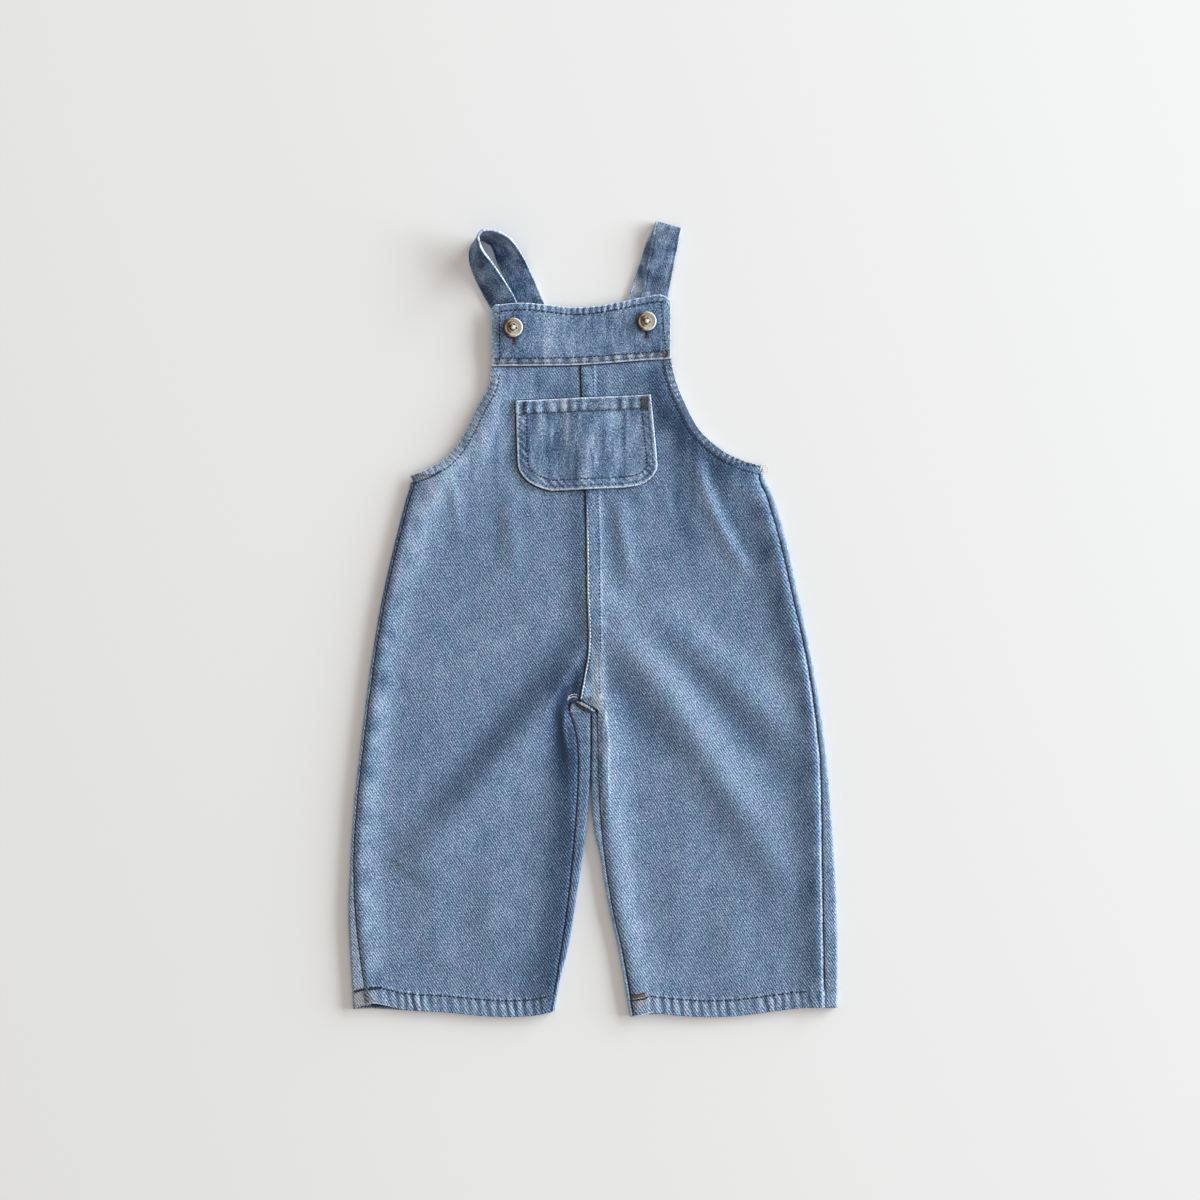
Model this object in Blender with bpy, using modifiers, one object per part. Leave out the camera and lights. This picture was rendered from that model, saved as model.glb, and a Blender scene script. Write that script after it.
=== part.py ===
# Kids dungarees in light denim, laid flat on their back, one object for each piece that is sewn on.
# Tables and sizes are in millimetres and the objects in metres. X runs to the right and Y towards
# the straps, as seen from above, Z is up, and z = 0 is the surface that the dungarees lie on.
# Left and right are the viewer's.
import math
from collections import namedtuple

import bpy
import numpy as np

MM = 0.001
COLLECTION = "kids_dungarees"

# Cloth and seams
CLOTH = 1.2              # one layer of denim
BAND_CLOTH = 1.9         # the band is doubled
STRAP_CLOTH = 1.8        # so are the straps
GAP = 0.3                # between pieces at a seam
STEP = 0.8               # a turned or felled edge changes its thickness over this width
FELL_RAISE, FELL_WIDTH = 0.8, 10.0
FELL_LEAST = 4.0         # its width where the centre seam has left the row
HEM_RAISE, HEM_WIDTH = 0.8, 12.0
ARMHOLE_RAISE, ARMHOLE_HEM = 0.6, 6.5
MOUTH_RAISE, MOUTH_HEM = 0.7, 10.0

# Levels of the front layer's middle above the surface
REST = 3.4               # away from the seams
ARMHOLE_EDGE = 2.4
CROTCH_EDGE = 4.6
SEAM_REACH = 9.0         # how far a rolled seam lifts the cloth beside it
BAND_REACH = 18.0
CORNER_REACH = 12.0      # how far below an armhole its rows still turn
CORNER_LIFT = 20.0       # how far from its corner an armhole's edge rises to the side seam
FELL_FADE = 12.0         # beside the felled seam the pocket comes down over this width

# Places down the body
BIB_TOP, BIB_FOOT = 190.0, 100.0       # the centre seam at the band, and level with the armhole corners
CROTCH = -59.6
LEG_TOP = -69.4
HEM = -293.0
HEM_FADE = 60.0                        # above this height the rows no longer follow the hem
BACK_CENTRE = 0.0

# Rolled side edges: the outermost x, the x of the side seam on top, and the roll's height.
Side = namedtuple("Side", "y edge seam roll")
SIDE_LEFT = [
    Side(107.8, -136.2, -135.4, 4.6),
    Side(103.1, -135.9, -132.9, 4.6),
    Side(89.6, -139.5, -136.3, 4.6),
    Side(59.6, -147.2, -143.9, 4.8),
    Side(14.6, -157.5, -154.2, 4.8),
    Side(-30.4, -165.2, -162.0, 4.8),
    Side(-75.4, -171.2, -168.0, 4.8),
    Side(-105.4, -174.8, -171.6, 4.8),
    Side(-135.4, -178.1, -174.9, 4.8),
    Side(-180.4, -181.1, -177.6, 4.8),
    Side(-225.4, -182.5, -176.0, 4.8),
    Side(-255.4, -181.0, -172.6, 4.6),
    Side(-293.0, -178.9, -168.2, 4.4),
]
SIDE_RIGHT = [
    Side(115.1, 127.0, 126.0, 4.6),
    Side(110.0, 127.9, 124.6, 4.6),
    Side(89.6, 136.5, 131.3, 4.8),
    Side(59.6, 145.3, 140.0, 5.0),
    Side(14.6, 155.3, 150.4, 5.2),
    Side(-30.4, 164.9, 160.9, 5.2),
    Side(-75.4, 172.1, 168.2, 5.0),
    Side(-105.4, 175.9, 170.6, 5.0),
    Side(-135.4, 178.5, 171.3, 5.0),
    Side(-180.4, 181.5, 172.0, 4.8),
    Side(-225.4, 183.5, 172.7, 4.6),
    Side(-293.0, 183.8, 173.9, 4.4),
]

# Rolled inner edges of the legs, with the inseam on top.
Inseam = namedtuple("Inseam", "y seam edge roll")
INSEAM_LEFT = [
    Inseam(-69.4, -17.0, -0.8, 5.0),
    Inseam(-86.6, -12.2, -1.0, 5.2),
    Inseam(-122.6, -10.9, -2.2, 5.2),
    Inseam(-150.4, -12.5, -4.0, 5.0),
    Inseam(-180.4, -15.1, -7.5, 5.0),
    Inseam(-210.4, -18.2, -12.0, 4.8),
    Inseam(-247.9, -23.6, -18.2, 4.6),
    Inseam(-270.4, -27.2, -24.0, 4.6),
    Inseam(-293.0, -31.3, -28.1, 4.4),
]
INSEAM_RIGHT = [
    Inseam(-69.4, 4.6, 1.3, 4.8),
    Inseam(-86.6, 5.2, 1.1, 5.0),
    Inseam(-122.6, 6.0, 0.4, 5.0),
    Inseam(-157.9, 7.9, 1.7, 5.0),
    Inseam(-175.9, 9.9, 5.8, 5.0),
    Inseam(-195.4, 12.6, 8.8, 4.8),
    Inseam(-214.2, 15.6, 12.2, 4.8),
    Inseam(-247.9, 23.3, 20.0, 4.6),
    Inseam(-270.4, 27.7, 24.4, 4.6),
    Inseam(-293.0, 31.4, 28.2, 4.4),
]

# The front's edge from the end of the centre seam to the inseam.
Point = namedtuple("Point", "x y")
CROTCH_LEFT = [Point(-17.5, -63.2)]
CROTCH_RIGHT = [Point(-4.5, -63.4), Point(3.2, -66.8)]
CENTRE_SEAM = [
    Point(-8.5, 190.0),
    Point(-7.7, 165.4),
    Point(-4.9, 95.6),
    Point(-4.0, 61.1),
    Point(-3.5, 19.1),
    Point(-2.4, -15.4),
    Point(-3.6, -30.4),
    Point(-6.0, -42.4),
    Point(-9.0, -59.6),
]

# Armholes, from the band down to the top of the side seam. The back's are hidden under the front.
ARMHOLE_LEFT = [
    Point(-75.2, 189.2),
    Point(-77.6, 174.5),
    Point(-85.5, 159.5),
    Point(-96.5, 138.0),
    Point(-107.6, 122.6),
    Point(-121.0, 113.6),
    Point(-135.4, 107.8),
]
ARMHOLE_RIGHT = [
    Point(59.3, 195.0),
    Point(62.5, 180.0),
    Point(69.5, 162.0),
    Point(80.5, 142.0),
    Point(96.8, 127.1),
    Point(112.0, 119.3),
    Point(126.0, 115.1),
]
BACK_ARMHOLE_LEFT = [
    Point(-48.0, 212.3),
    Point(-56.0, 180.0),
    Point(-74.0, 140.0),
    Point(-100.0, 112.0),
    Point(-133.5, 103.1),
]
BACK_ARMHOLE_RIGHT = [
    Point(41.5, 212.3),
    Point(47.0, 180.0),
    Point(62.0, 146.0),
    Point(88.0, 117.0),
    Point(125.5, 109.0),
]

# Hems, where the front one is lifted clear of the back at the outer corner.
Hem = namedtuple("Hem", "x front back")
HEM_LEFT = [
    Hem(-180.0, -291.9, -291.9),
    Hem(-172.0, -289.6, -291.6),
    Hem(-164.3, -287.7, -291.4),
    Hem(-156.0, -288.9, -291.8),
    Hem(-146.0, -291.0, -292.5),
    Hem(-110.0, -294.0, -294.0),
    Hem(-60.0, -297.4, -296.4),
    Hem(-42.0, -296.2, -295.4),
    Hem(-28.0, -292.9, -292.9),
]
HEM_RIGHT = [
    Hem(28.0, -297.2, -297.2),
    Hem(36.0, -296.2, -296.4),
    Hem(44.3, -294.2, -295.6),
    Hem(52.5, -295.2, -295.6),
    Hem(102.0, -297.2, -296.4),
    Hem(140.0, -292.8, -292.6),
    Hem(158.0, -290.7, -290.9),
    Hem(184.0, -290.6, -290.6),
]

# The largest folds of the front: soft ridges, and troughs where the height is negative.
Fold = namedtuple("Fold", "x1 y1 x2 y2 bow width height")
FOLDS = [
    Fold(-104.0, 118.0, -136.0, 40.0, 3.0, 8.0, 1.5),
    Fold(-92.0, 104.0, -126.0, 8.0, 2.0, 9.0, -1.0),
    Fold(-20.0, -10.0, -131.0, -176.0, 4.0, 13.0, -1.2),
    Fold(-12.0, -20.0, -76.0, -134.0, 5.0, 11.0, 1.5),
    Fold(-27.0, -52.0, -33.0, -252.0, -2.0, 7.0, -1.1),
    Fold(80.0, 130.0, 127.0, 10.0, 3.0, 8.0, 1.3),
    Fold(98.0, 112.0, 139.0, -10.0, 3.0, 7.0, -0.9),
    Fold(16.0, -14.0, 149.0, -200.0, 15.0, 12.0, 1.8),
    Fold(10.0, -52.0, 112.0, -216.0, 9.0, 15.0, -1.0),
    Fold(-60.0, 78.0, -84.0, -30.0, -4.0, 16.0, 0.8),
    Fold(58.0, 70.0, 72.0, -30.0, 3.0, 16.0, 0.7),
]

# The band: its lower and upper edges, and the level of its middle at each.
Band = namedtuple("Band", "x bottom top low high")
BAND = [
    Band(-75.2, 189.5, 232.4, 3.7, 4.9),
    Band(-72.6, 189.5, 234.9, 3.8, 5.2),
    Band(-68.0, 189.6, 235.5, 3.9, 5.5),
    Band(-53.0, 189.7, 236.6, 4.0, 5.8),
    Band(-37.0, 189.9, 235.6, 4.0, 5.1),
    Band(-15.0, 190.2, 233.4, 4.0, 4.5),
    Band(5.0, 191.3, 234.6, 4.0, 4.6),
    Band(24.0, 192.8, 237.9, 4.1, 5.2),
    Band(40.0, 194.0, 241.2, 4.2, 5.3),
    Band(54.5, 195.1, 241.6, 4.1, 5.3),
    Band(58.9, 195.4, 238.4, 4.0, 5.1),
]
BAND_SHOULDER = 0.4      # the band reaches its high level at this share of its width

# The patch pocket: the ends of its rows, from the mouth down to the foot.
PocketRow = namedtuple("PocketRow", "left_x left_y right_x right_y")
POCKET = [
    PocketRow(-56.8, 163.5, 43.9, 168.0),
    PocketRow(-56.4, 142.0, 46.5, 143.0),
    PocketRow(-55.8, 122.0, 48.6, 121.0),
    PocketRow(-54.6, 112.5, 48.4, 112.0),
    PocketRow(-49.7, 105.2, 43.6, 105.4),
    PocketRow(-42.0, 100.0, 36.5, 101.0),
    PocketRow(-31.0, 96.3, 24.0, 98.7),
]

# Straps, from the buttoned end over the loop to the end at the back: the middle of the strap in
# plan, the level that its lower edge lies over, the plan direction across it in degrees, and how
# steeply it is tilted up that way.
STRAP_WIDTH = 20.0
Strap = namedtuple("Strap", "x y over turn tilt")
STRAP_LEFT = [
    Strap(-62.4, 210.0, 0.0, 1.0, 5.0),
    Strap(-62.2, 219.0, 0.0, 8.0, 7.0),
    Strap(-66.5, 235.9, 0.0, 21.0, 8.0),
    Strap(-73.6, 248.6, 0.0, 29.0, 20.0),
    Strap(-82.1, 263.3, 0.0, 28.0, 39.0),
    Strap(-86.3, 272.3, 0.0, 17.0, 56.0),
    Strap(-87.0, 279.0, 0.0, 5.0, 68.0),
    Strap(-85.6, 284.2, 0.0, 20.0, 81.0),
    Strap(-81.6, 286.3, 0.0, 80.0, 79.0),
    Strap(-77.6, 285.6, 0.0, 67.0, 65.0),
    Strap(-73.1, 283.7, 0.0, 45.0, 55.0),
    Strap(-68.1, 280.0, 0.0, 29.0, 39.0),
    Strap(-63.1, 272.8, 0.0, 25.0, 25.0),
    Strap(-58.3, 263.6, 0.0, 25.0, 12.0),
    Strap(-52.2, 250.0, 0.0, 24.0, 3.0),
    Strap(-46.4, 236.3, 0.0, 23.0, 0.0),
    Strap(-41.0, 225.4, 0.0, 19.0, 0.0),
    Strap(-34.5, 212.6, 0.0, 0.0, 0.0),
]
TURN = 1.6               # radius of the right strap's fold, at the middle of the cloth
STRAP_RIGHT_FRONT = [
    Strap(41.6, 212.9, 2.1, 0.0, 0.0),
    Strap(43.2, 223.0, 2.1, -8.6, 0.0),
    Strap(46.7, 241.1, 2.1, -10.8, 0.0),
    Strap(50.6, 261.4, 2.3, -11.5, 0.0),
    Strap(54.2, 279.8, 2.9, -13.3, 0.0),
]
STRAP_RIGHT_TURN = Strap(56.7, 293.6, 0.0, -16.1, 0.0)
STRAP_RIGHT_BACK = [
    Strap(50.9, 280.9, 0.0, -19.8, 0.0),
    Strap(44.4, 261.0, 0.0, -19.8, 0.0),
    Strap(37.1, 239.6, 0.0, -19.1, 0.0),
    Strap(27.8, 212.6, 0.0, 0.0, 0.0),
]

# Buttons
BUTTON_RADIUS, BUTTON_HEIGHT, BUTTON_RIM, BUTTON_DISH = 7.15, 2.8, 1.5, 0.9
BUTTON_HOLE, BUTTON_HOLE_AT = 0.8, 1.55
BUTTON_STEPS = 24
BUTTON_SEAT = 0.4        # above the band, which curves under it
BUTTONS = {"button_left": Point(-58.7, 218.0), "button_right": Point(41.0, 222.7)}

# Colours, as linear values
DENIM = (0.165, 0.246, 0.362, 1.0)
DENIM_DARK = (0.110, 0.165, 0.240, 1.0)
HORN = (0.32, 0.27, 0.18, 1.0)

Half = namedtuple("Half", "sign side inseam crotch armhole back_armhole hem")
LEFT = Half(-1, SIDE_LEFT, INSEAM_LEFT, CROTCH_LEFT, ARMHOLE_LEFT, BACK_ARMHOLE_LEFT, HEM_LEFT)
RIGHT = Half(1, SIDE_RIGHT, INSEAM_RIGHT, CROTCH_RIGHT, ARMHOLE_RIGHT, BACK_ARMHOLE_RIGHT, HEM_RIGHT)


def smooth(keys, values, at):
    # A cubic curve through the values, read anywhere between the first key and the last.
    order = np.argsort(keys)
    keys = np.asarray(keys, float)[order]
    values = np.asarray(values, float)[order]
    at = np.clip(at, keys[0], keys[-1])
    slopes = np.gradient(values, keys)
    i = np.clip(np.searchsorted(keys, at) - 1, 0, len(keys) - 2)
    span = keys[i + 1] - keys[i]
    t = (at - keys[i]) / span
    start = (1 + 2 * t) * (1 - t) ** 2 * values[i] + t * (1 - t) ** 2 * span * slopes[i]
    end = t * t * (3 - 2 * t) * values[i + 1] - t * t * (1 - t) * span * slopes[i + 1]
    return start + end


def read(table, key, column, at):
    return smooth([getattr(row, key) for row in table], [getattr(row, column) for row in table], at)


def along(table, column, share):
    # A column read along the table's rows, from 0 at the first to 1 at the last.
    values = [getattr(row, column) for row in table]
    return smooth(np.arange(len(values)), values, np.asarray(share) * (len(values) - 1))


def soft_step(t):
    t = np.clip(t, 0.0, 1.0)
    return t * t * (3 - 2 * t)


def spread(start, end, count):
    return list(np.linspace(start, end, count))


# The outline

def side_seam(half, y):
    return read(half.side, "y", "seam", y)


def outer_line(half):
    # The front's outer edge as x, y and the level of its middle.
    corner = half.armhole[-1]
    line = []
    for share in np.linspace(0, 1, 33)[:-1]:
        x, y = along(half.armhole, "x", share), along(half.armhole, "y", share)
        near = math.exp(-((math.hypot(x - corner.x, y - corner.y) / CORNER_LIFT) ** 2))
        line.append((x, y, ARMHOLE_EDGE + (half.side[0].roll - CLOTH / 2 - ARMHOLE_EDGE) * near))
    for y in np.linspace(half.side[0].y, HEM, 60):
        line.append((side_seam(half, y), y, read(half.side, "y", "roll", y) - CLOTH / 2))
    return np.array(line)


def inner_line(half):
    # The front's edge at the crotch and down the inseam.
    line = [(CENTRE_SEAM[-1].x, CROTCH, CROTCH_EDGE)]
    line += [(p.x, p.y, CROTCH_EDGE) for p in half.crotch]
    for y in np.linspace(LEG_TOP, HEM, 40):
        line.append((read(half.inseam, "y", "seam", y), y, read(half.inseam, "y", "roll", y) - CLOTH / 2))
    return np.array(line)


def nearest(line, x, y):
    # The distance from a point to a line, and the line's level there.
    a, b = line[:-1], line[1:]
    run = b[:, :2] - a[:, :2]
    t = ((x - a[:, 0]) * run[:, 0] + (y - a[:, 1]) * run[:, 1]) / (run**2).sum(1)
    t = np.clip(t, 0.0, 1.0)
    at = a + (b - a) * t[:, None]
    distance = np.hypot(at[:, 0] - x, at[:, 1] - y)
    i = int(distance.argmin())
    return distance[i], at[i, 2]


# The front layer's level

def folds_at(x, y):
    level = 0.0
    for fold in FOLDS:
        run_x, run_y = fold.x2 - fold.x1, fold.y2 - fold.y1
        length = math.hypot(run_x, run_y)
        t = ((x - fold.x1) * run_x + (y - fold.y1) * run_y) / length**2
        if 0.0 < t < 1.0:
            away = ((x - fold.x1) * run_y - (y - fold.y1) * run_x) / length
            away -= fold.bow * 4 * t * (1 - t) * (1 if run_x > 0 else -1)
            level += fold.height * math.exp(-((away / fold.width) ** 2)) * math.sqrt(4 * t * (1 - t))
    return level


def front_level(half, lines, x, y):
    level = REST + folds_at(x, y)
    for line in lines:
        distance, edge = nearest(line, x, y)
        near = math.exp(-((distance / SEAM_REACH) ** 2))
        level += (edge - level) * near
    below_band = read(BAND, "x", "bottom", x) - y
    near = math.exp(-((max(below_band, 0.0) / BAND_REACH) ** 2))
    return level + (read(BAND, "x", "low", x) - level) * near


def edges_of(half):
    return outer_line(half), inner_line(half)


def hem_shift(half, x, y, column):
    # How far a row near the hem moves to follow it.
    share = soft_step((HEM + HEM_FADE - y) / (HEM_FADE - HEM_WIDTH - STEP))
    return share * (read(half.hem, "x", column, x) - HEM)


# Objects

def new_material(name, colour, roughness):
    material = bpy.data.materials.new(name)
    material.use_nodes = True
    shader = material.node_tree.nodes["Principled BSDF"]
    shader.inputs["Base Color"].default_value = colour
    shader.inputs["Roughness"].default_value = roughness
    shader.inputs["Metallic"].default_value = 0.0
    material.diffuse_color = colour
    return material


def new_object(name, mesh, material, collection):
    piece = bpy.data.objects.new(name, mesh)
    mesh.materials.append(material)
    collection.objects.link(piece)
    return piece


def add_cloth(name, rows, starts, thickness, offset, colour, collection):
    # An open surface through rows of points with a Solidify modifier. A row's points begin at the
    # column given in starts. A point's fourth number is how much is added to the cloth there.
    numbers, points, extra = {}, [], []
    for r, row in enumerate(rows):
        for c, point in enumerate(row):
            numbers[r, starts[r] + c] = len(points)
            points.append([value * MM for value in point[:3]])
            extra.append(point[3])
    faces = []
    for r, c in numbers:
        corners = [(r, c), (r + 1, c), (r + 1, c + 1), (r, c + 1)]
        if all(corner in numbers for corner in corners):
            faces.append([numbers[corner] for corner in corners])
    mesh = bpy.data.meshes.new(name)
    mesh.from_pydata(points, [], faces)
    mesh.shade_smooth()
    piece = new_object(name, mesh, new_material(name, colour, 0.9), collection)
    most = max(extra)
    solidify = piece.modifiers.new("cloth", "SOLIDIFY")
    solidify.thickness = (thickness + most) * MM
    solidify.offset = offset
    solidify.use_even_offset = True
    if most > 0:
        group = piece.vertex_groups.new(name="extra")
        for i, value in enumerate(extra):
            group.add([i], value / most, "REPLACE")
        solidify.vertex_group = "extra"
        solidify.thickness_vertex_group = thickness / (thickness + most)
    return piece


# Front panels

BIB_ROWS, HIP_ROWS, LEG_ROWS = 9, 15, 19
MIDDLE_COLUMNS = 9


def front_row_ends(half):
    # The outer and inner end of each row and whether it is above the leg.
    inset = -half.sign * GAP / 2
    ends = []
    for share in spread(0, 1, BIB_ROWS):
        outer = (along(half.armhole, "x", share), along(half.armhole, "y", share))
        ends.append((outer, BIB_TOP + (BIB_FOOT - BIB_TOP) * share, True))
    corner_y = half.armhole[-1].y
    below_corner = (corner_y - half.side[1].y) / (corner_y - CROTCH)
    for share in spread(below_corner, 1, HIP_ROWS):
        y = corner_y + (CROTCH - corner_y) * share
        ends.append(((side_seam(half, y) + inset, y), BIB_FOOT + (CROTCH - BIB_FOOT) * share, True))
    rows = []
    for outer, inner_y, above in ends:
        inner_x = along_centre(inner_y) + half.sign * GAP / 2
        rows.append((outer, (inner_x, inner_y), above))
    for point in half.crotch:
        rows.append(((side_seam(half, point.y) + inset, point.y), (point.x, point.y), True))
    levels = spread(LEG_TOP, HEM + HEM_WIDTH + STEP, LEG_ROWS) + [HEM + HEM_WIDTH, HEM + HEM_WIDTH / 2, HEM]
    for y in levels:
        inner_x = read(half.inseam, "y", "seam", y) + half.sign * GAP / 2
        rows.append(((side_seam(half, y) + inset, y), (inner_x, y), False))
    return rows


def along_centre(y):
    return read(CENTRE_SEAM, "y", "x", y)


def hem_directions(half, ends):
    # Where each row sets out from its outer end: square to the armhole, along the band at the top,
    # between the two edges at the corner, and level further down.
    outer = np.array([row[0] for row in ends])
    level = np.array([-half.sign, 0.0])
    runs = np.diff(outer, axis=0)
    squares = half.sign * np.stack([runs[:, 1], -runs[:, 0]], axis=1)
    squares /= np.linalg.norm(squares, axis=1)[:, None]
    along_band = np.array(ends[0][1]) - outer[0]
    corner = squares[BIB_ROWS - 2] + level
    corner /= np.dot(corner, level)
    directions = [along_band / np.linalg.norm(along_band)]
    for i in range(1, BIB_ROWS - 1):
        both = squares[i - 1] + squares[i]
        directions.append(both / np.linalg.norm(both))
    for x, y in outer[BIB_ROWS - 1:]:
        near = math.exp(-(outer[BIB_ROWS - 1][1] - y) / CORNER_REACH)
        directions.append(level + (corner - level) * near)
    return directions


def front_panel(half, name, collection):
    ends = front_row_ends(half)
    directions = hem_directions(half, ends)
    lines = edges_of(half)
    rows = []
    for i, (start, stop, above) in enumerate(ends):
        in_bib = i < BIB_ROWS
        fell_line = along_centre(max(stop[1], CROTCH)) + FELL_WIDTH
        has_fell = half.sign > 0 and above
        fell = max(fell_line - stop[0], FELL_LEAST) if has_fell else FELL_LEAST
        y_hem = stop[1] < HEM + HEM_WIDTH + STEP / 2 and not above
        places = []
        for distance, raised in ((0.0, 1), (ARMHOLE_HEM - STEP / 2, 1), (ARMHOLE_HEM + STEP / 2, 0)):
            point = np.array(start) + directions[i] * distance
            places.append((point[0], point[1], ARMHOLE_RAISE * raised * in_bib))
        hem_end = np.array(places[-1][:2])
        fell_start = np.array(stop) + np.array([half.sign * (fell + STEP / 2), 0.0])
        for share in spread(0, 1, MIDDLE_COLUMNS)[1:]:
            point = hem_end + (fell_start - hem_end) * share
            places.append((point[0], point[1], 0.0))
        for distance in (fell - STEP / 2, 0.0):
            x = stop[0] + half.sign * distance
            places.append((x, stop[1], FELL_RAISE * has_fell))
        row = []
        for x, y, raise_by in places:
            if not above:
                y += hem_shift(half, x, y, "front")
            if y_hem:
                raise_by = HEM_RAISE
            row.append((x, y, front_level(half, lines, x, y) - CLOTH / 2, raise_by))
        rows.append(row if half.sign < 0 else row[::-1])
    return add_cloth(name, rows, [0] * len(rows), CLOTH, 1.0, DENIM, collection)


# Back panels

BACK_BIB_ROWS, BACK_HIP_ROWS, BACK_LEG_ROWS = 6, 11, 20
BACK_COLUMNS = 7
ROLL_STEPS = 6
STRIP_STEPS = 2
BACK_DROP = 0.5          # the back's rolled strip starts this far below the front's corner
FORK = 7.0               # and its last hip row lies this far above the legs


def rolled_edge(edge, seam, roll, inward):
    # The outer face of a rolled edge as x and z, from where it leaves the surface to the seam.
    radius = roll / 2
    points = []
    for angle in spread(0, math.pi, ROLL_STEPS + 1)[1:]:
        points.append((edge + inward * radius * (1 - math.sin(angle)), radius * (1 - math.cos(angle))))
    start, end = edge + inward * radius, seam - inward * GAP / 2
    for share in spread(0, 1, STRIP_STEPS + 1)[1:]:
        points.append((start + (end - start) * share, roll))
    return points


def back_panel(half, name, collection):
    inward = -half.sign
    rows, starts = [], []
    roll_count = ROLL_STEPS + STRIP_STEPS
    levels = [("bib", share) for share in spread(0, 1, BACK_BIB_ROWS)[:-1]]
    levels += [("hip", y) for y in spread(half.side[1].y - BACK_DROP, LEG_TOP + FORK, BACK_HIP_ROWS)]
    levels += [("leg", y) for y in spread(LEG_TOP, HEM, BACK_LEG_ROWS)]
    for zone, value in levels:
        centre = BACK_CENTRE + half.sign * GAP / 2
        side, inner = [], []
        if zone == "bib":
            y = along(half.back_armhole, "y", value)
            outer_x, inner_x = along(half.back_armhole, "x", value), centre
        else:
            y = value
            edge, seam, roll = (read(half.side, "y", column, y) for column in ("edge", "seam", "roll"))
            side = rolled_edge(edge, seam, roll, inward)
            outer_x, inner_x = edge + inward * roll / 2, centre
        if zone == "leg":
            edge, seam, roll = (read(half.inseam, "y", column, y) for column in ("edge", "seam", "roll"))
            inner = rolled_edge(edge, seam, roll, -inward)
            inner_x = edge - inward * roll / 2
        row = []
        for x, z in side[::-1]:
            row.append((x, y + (hem_shift(half, x, y, "front") if zone == "leg" else 0.0), z, 0.0))
        for x in spread(outer_x, inner_x, BACK_COLUMNS):
            row.append((x, y + (hem_shift(half, x, y, "back") if zone == "leg" else 0.0), 0.0, 0.0))
        for x, z in inner:
            row.append((x, y + hem_shift(half, x, y, "front"), z, 0.0))
        lead = 0 if side else roll_count
        if half.sign > 0:
            row = row[::-1]
            lead = 0 if inner else roll_count
        rows.append(row)
        starts.append(lead)
    return add_cloth(name, rows, starts, CLOTH, 1.0, DENIM, collection)


# Band and pocket

BAND_COLUMNS, BAND_ROWS = 16, 6
POCKET_ROWS, POCKET_COLUMNS = 11, 13


def band_level(x, y):
    bottom, top = read(BAND, "x", "bottom", x), read(BAND, "x", "top", x)
    low, high = read(BAND, "x", "low", x), read(BAND, "x", "high", x)
    return low + (high - low) * soft_step((y - bottom) / (top - bottom) / BAND_SHOULDER)


def bib_band(collection):
    left, right = BAND[0].x, BAND[-1].x
    middle = spread(BAND[1].x, BAND[-2].x, BAND_COLUMNS - 2)
    rows = []
    for share in spread(1, 0, BAND_ROWS):
        row = []
        for x in [left] + middle + [right]:
            bottom, top = read(BAND, "x", "bottom", x), read(BAND, "x", "top", x)
            y = bottom + (top - bottom) * share
            row.append((x, y, band_level(x, y), 0.0))
        rows.append(row)
    return add_cloth("bib_band", rows, [0] * len(rows), BAND_CLOTH, 0.0, DENIM, collection)


def pocket(collection):
    fell_middle = FELL_WIDTH / 2
    lines = {-1: edges_of(LEFT), 1: edges_of(RIGHT)}
    depth = POCKET[0].left_y - POCKET[-1].left_y
    mouth = [0.0, (MOUTH_HEM - STEP / 2) / depth, (MOUTH_HEM + STEP / 2) / depth]
    rows = []
    for n, drop in enumerate(mouth + spread(mouth[-1], 1, POCKET_ROWS - 2)[1:]):
        share = pocket_share(drop)
        left = (along(POCKET, "left_x", share), along(POCKET, "left_y", share))
        right = (along(POCKET, "right_x", share), along(POCKET, "right_y", share))
        row = []
        for across in spread(0, 1, POCKET_COLUMNS):
            x, y = (left[k] + (right[k] - left[k]) * across for k in (0, 1))
            seam = along_centre(y)
            half = LEFT if x < seam else RIGHT
            over_fell = 1 - soft_step((abs(x - seam - fell_middle) - FELL_WIDTH) / FELL_FADE)
            under = front_level(half, lines[half.sign], x, y) + CLOTH / 2 + over_fell * FELL_RAISE
            row.append((x, y, under + GAP, MOUTH_RAISE if n < 2 else 0.0))
        rows.append(row)
    return add_cloth("pocket", rows, [0] * len(rows), CLOTH, 1.0, DENIM, collection)


def pocket_share(drop):
    # Where in the table a row lies that is this share of the pocket's depth below its mouth.
    depths = [(POCKET[0].left_y - row.left_y) / (POCKET[0].left_y - POCKET[-1].left_y) for row in POCKET]
    return float(np.interp(drop, depths, np.linspace(0, 1, len(POCKET))))


# Straps

STRAP_STEP = 7.0
STRAP_COLUMNS = 4
STRAP_LIFT = 0.1         # keeps the lower edge of a tilted strap off the surface


def strap(name, table, collection):
    lengths = [math.dist(a[:3], b[:3]) for a, b in zip(table, table[1:])]
    keys = np.concatenate([[0.0], np.cumsum(lengths)])
    places = [0.0]
    for start, end in zip(keys, keys[1:]):
        places += spread(start, end, math.ceil((end - start) / STRAP_STEP) + 1)[1:]
    rows = []
    for place in places:
        x, y, over, turn, tilt = (smooth(keys, [row[k] for row in table], place) for k in range(5))
        flat, rise = math.cos(math.radians(tilt)), math.sin(math.radians(tilt))
        across_x, across_y = flat * math.cos(math.radians(turn)), flat * math.sin(math.radians(turn))
        middle = max(over, 0.0) + STRAP_CLOTH / 2 * flat + (STRAP_WIDTH / 2 + STRAP_LIFT) * abs(rise)
        row = []
        for part in spread(-0.5, 0.5, STRAP_COLUMNS):
            away = part * STRAP_WIDTH
            row.append((x + across_x * away, y + across_y * away, middle + rise * away, 0.0))
        rows.append(row)
    return add_cloth(name, rows, [0] * len(rows), STRAP_CLOTH, 0.0, DENIM_DARK, collection)


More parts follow.
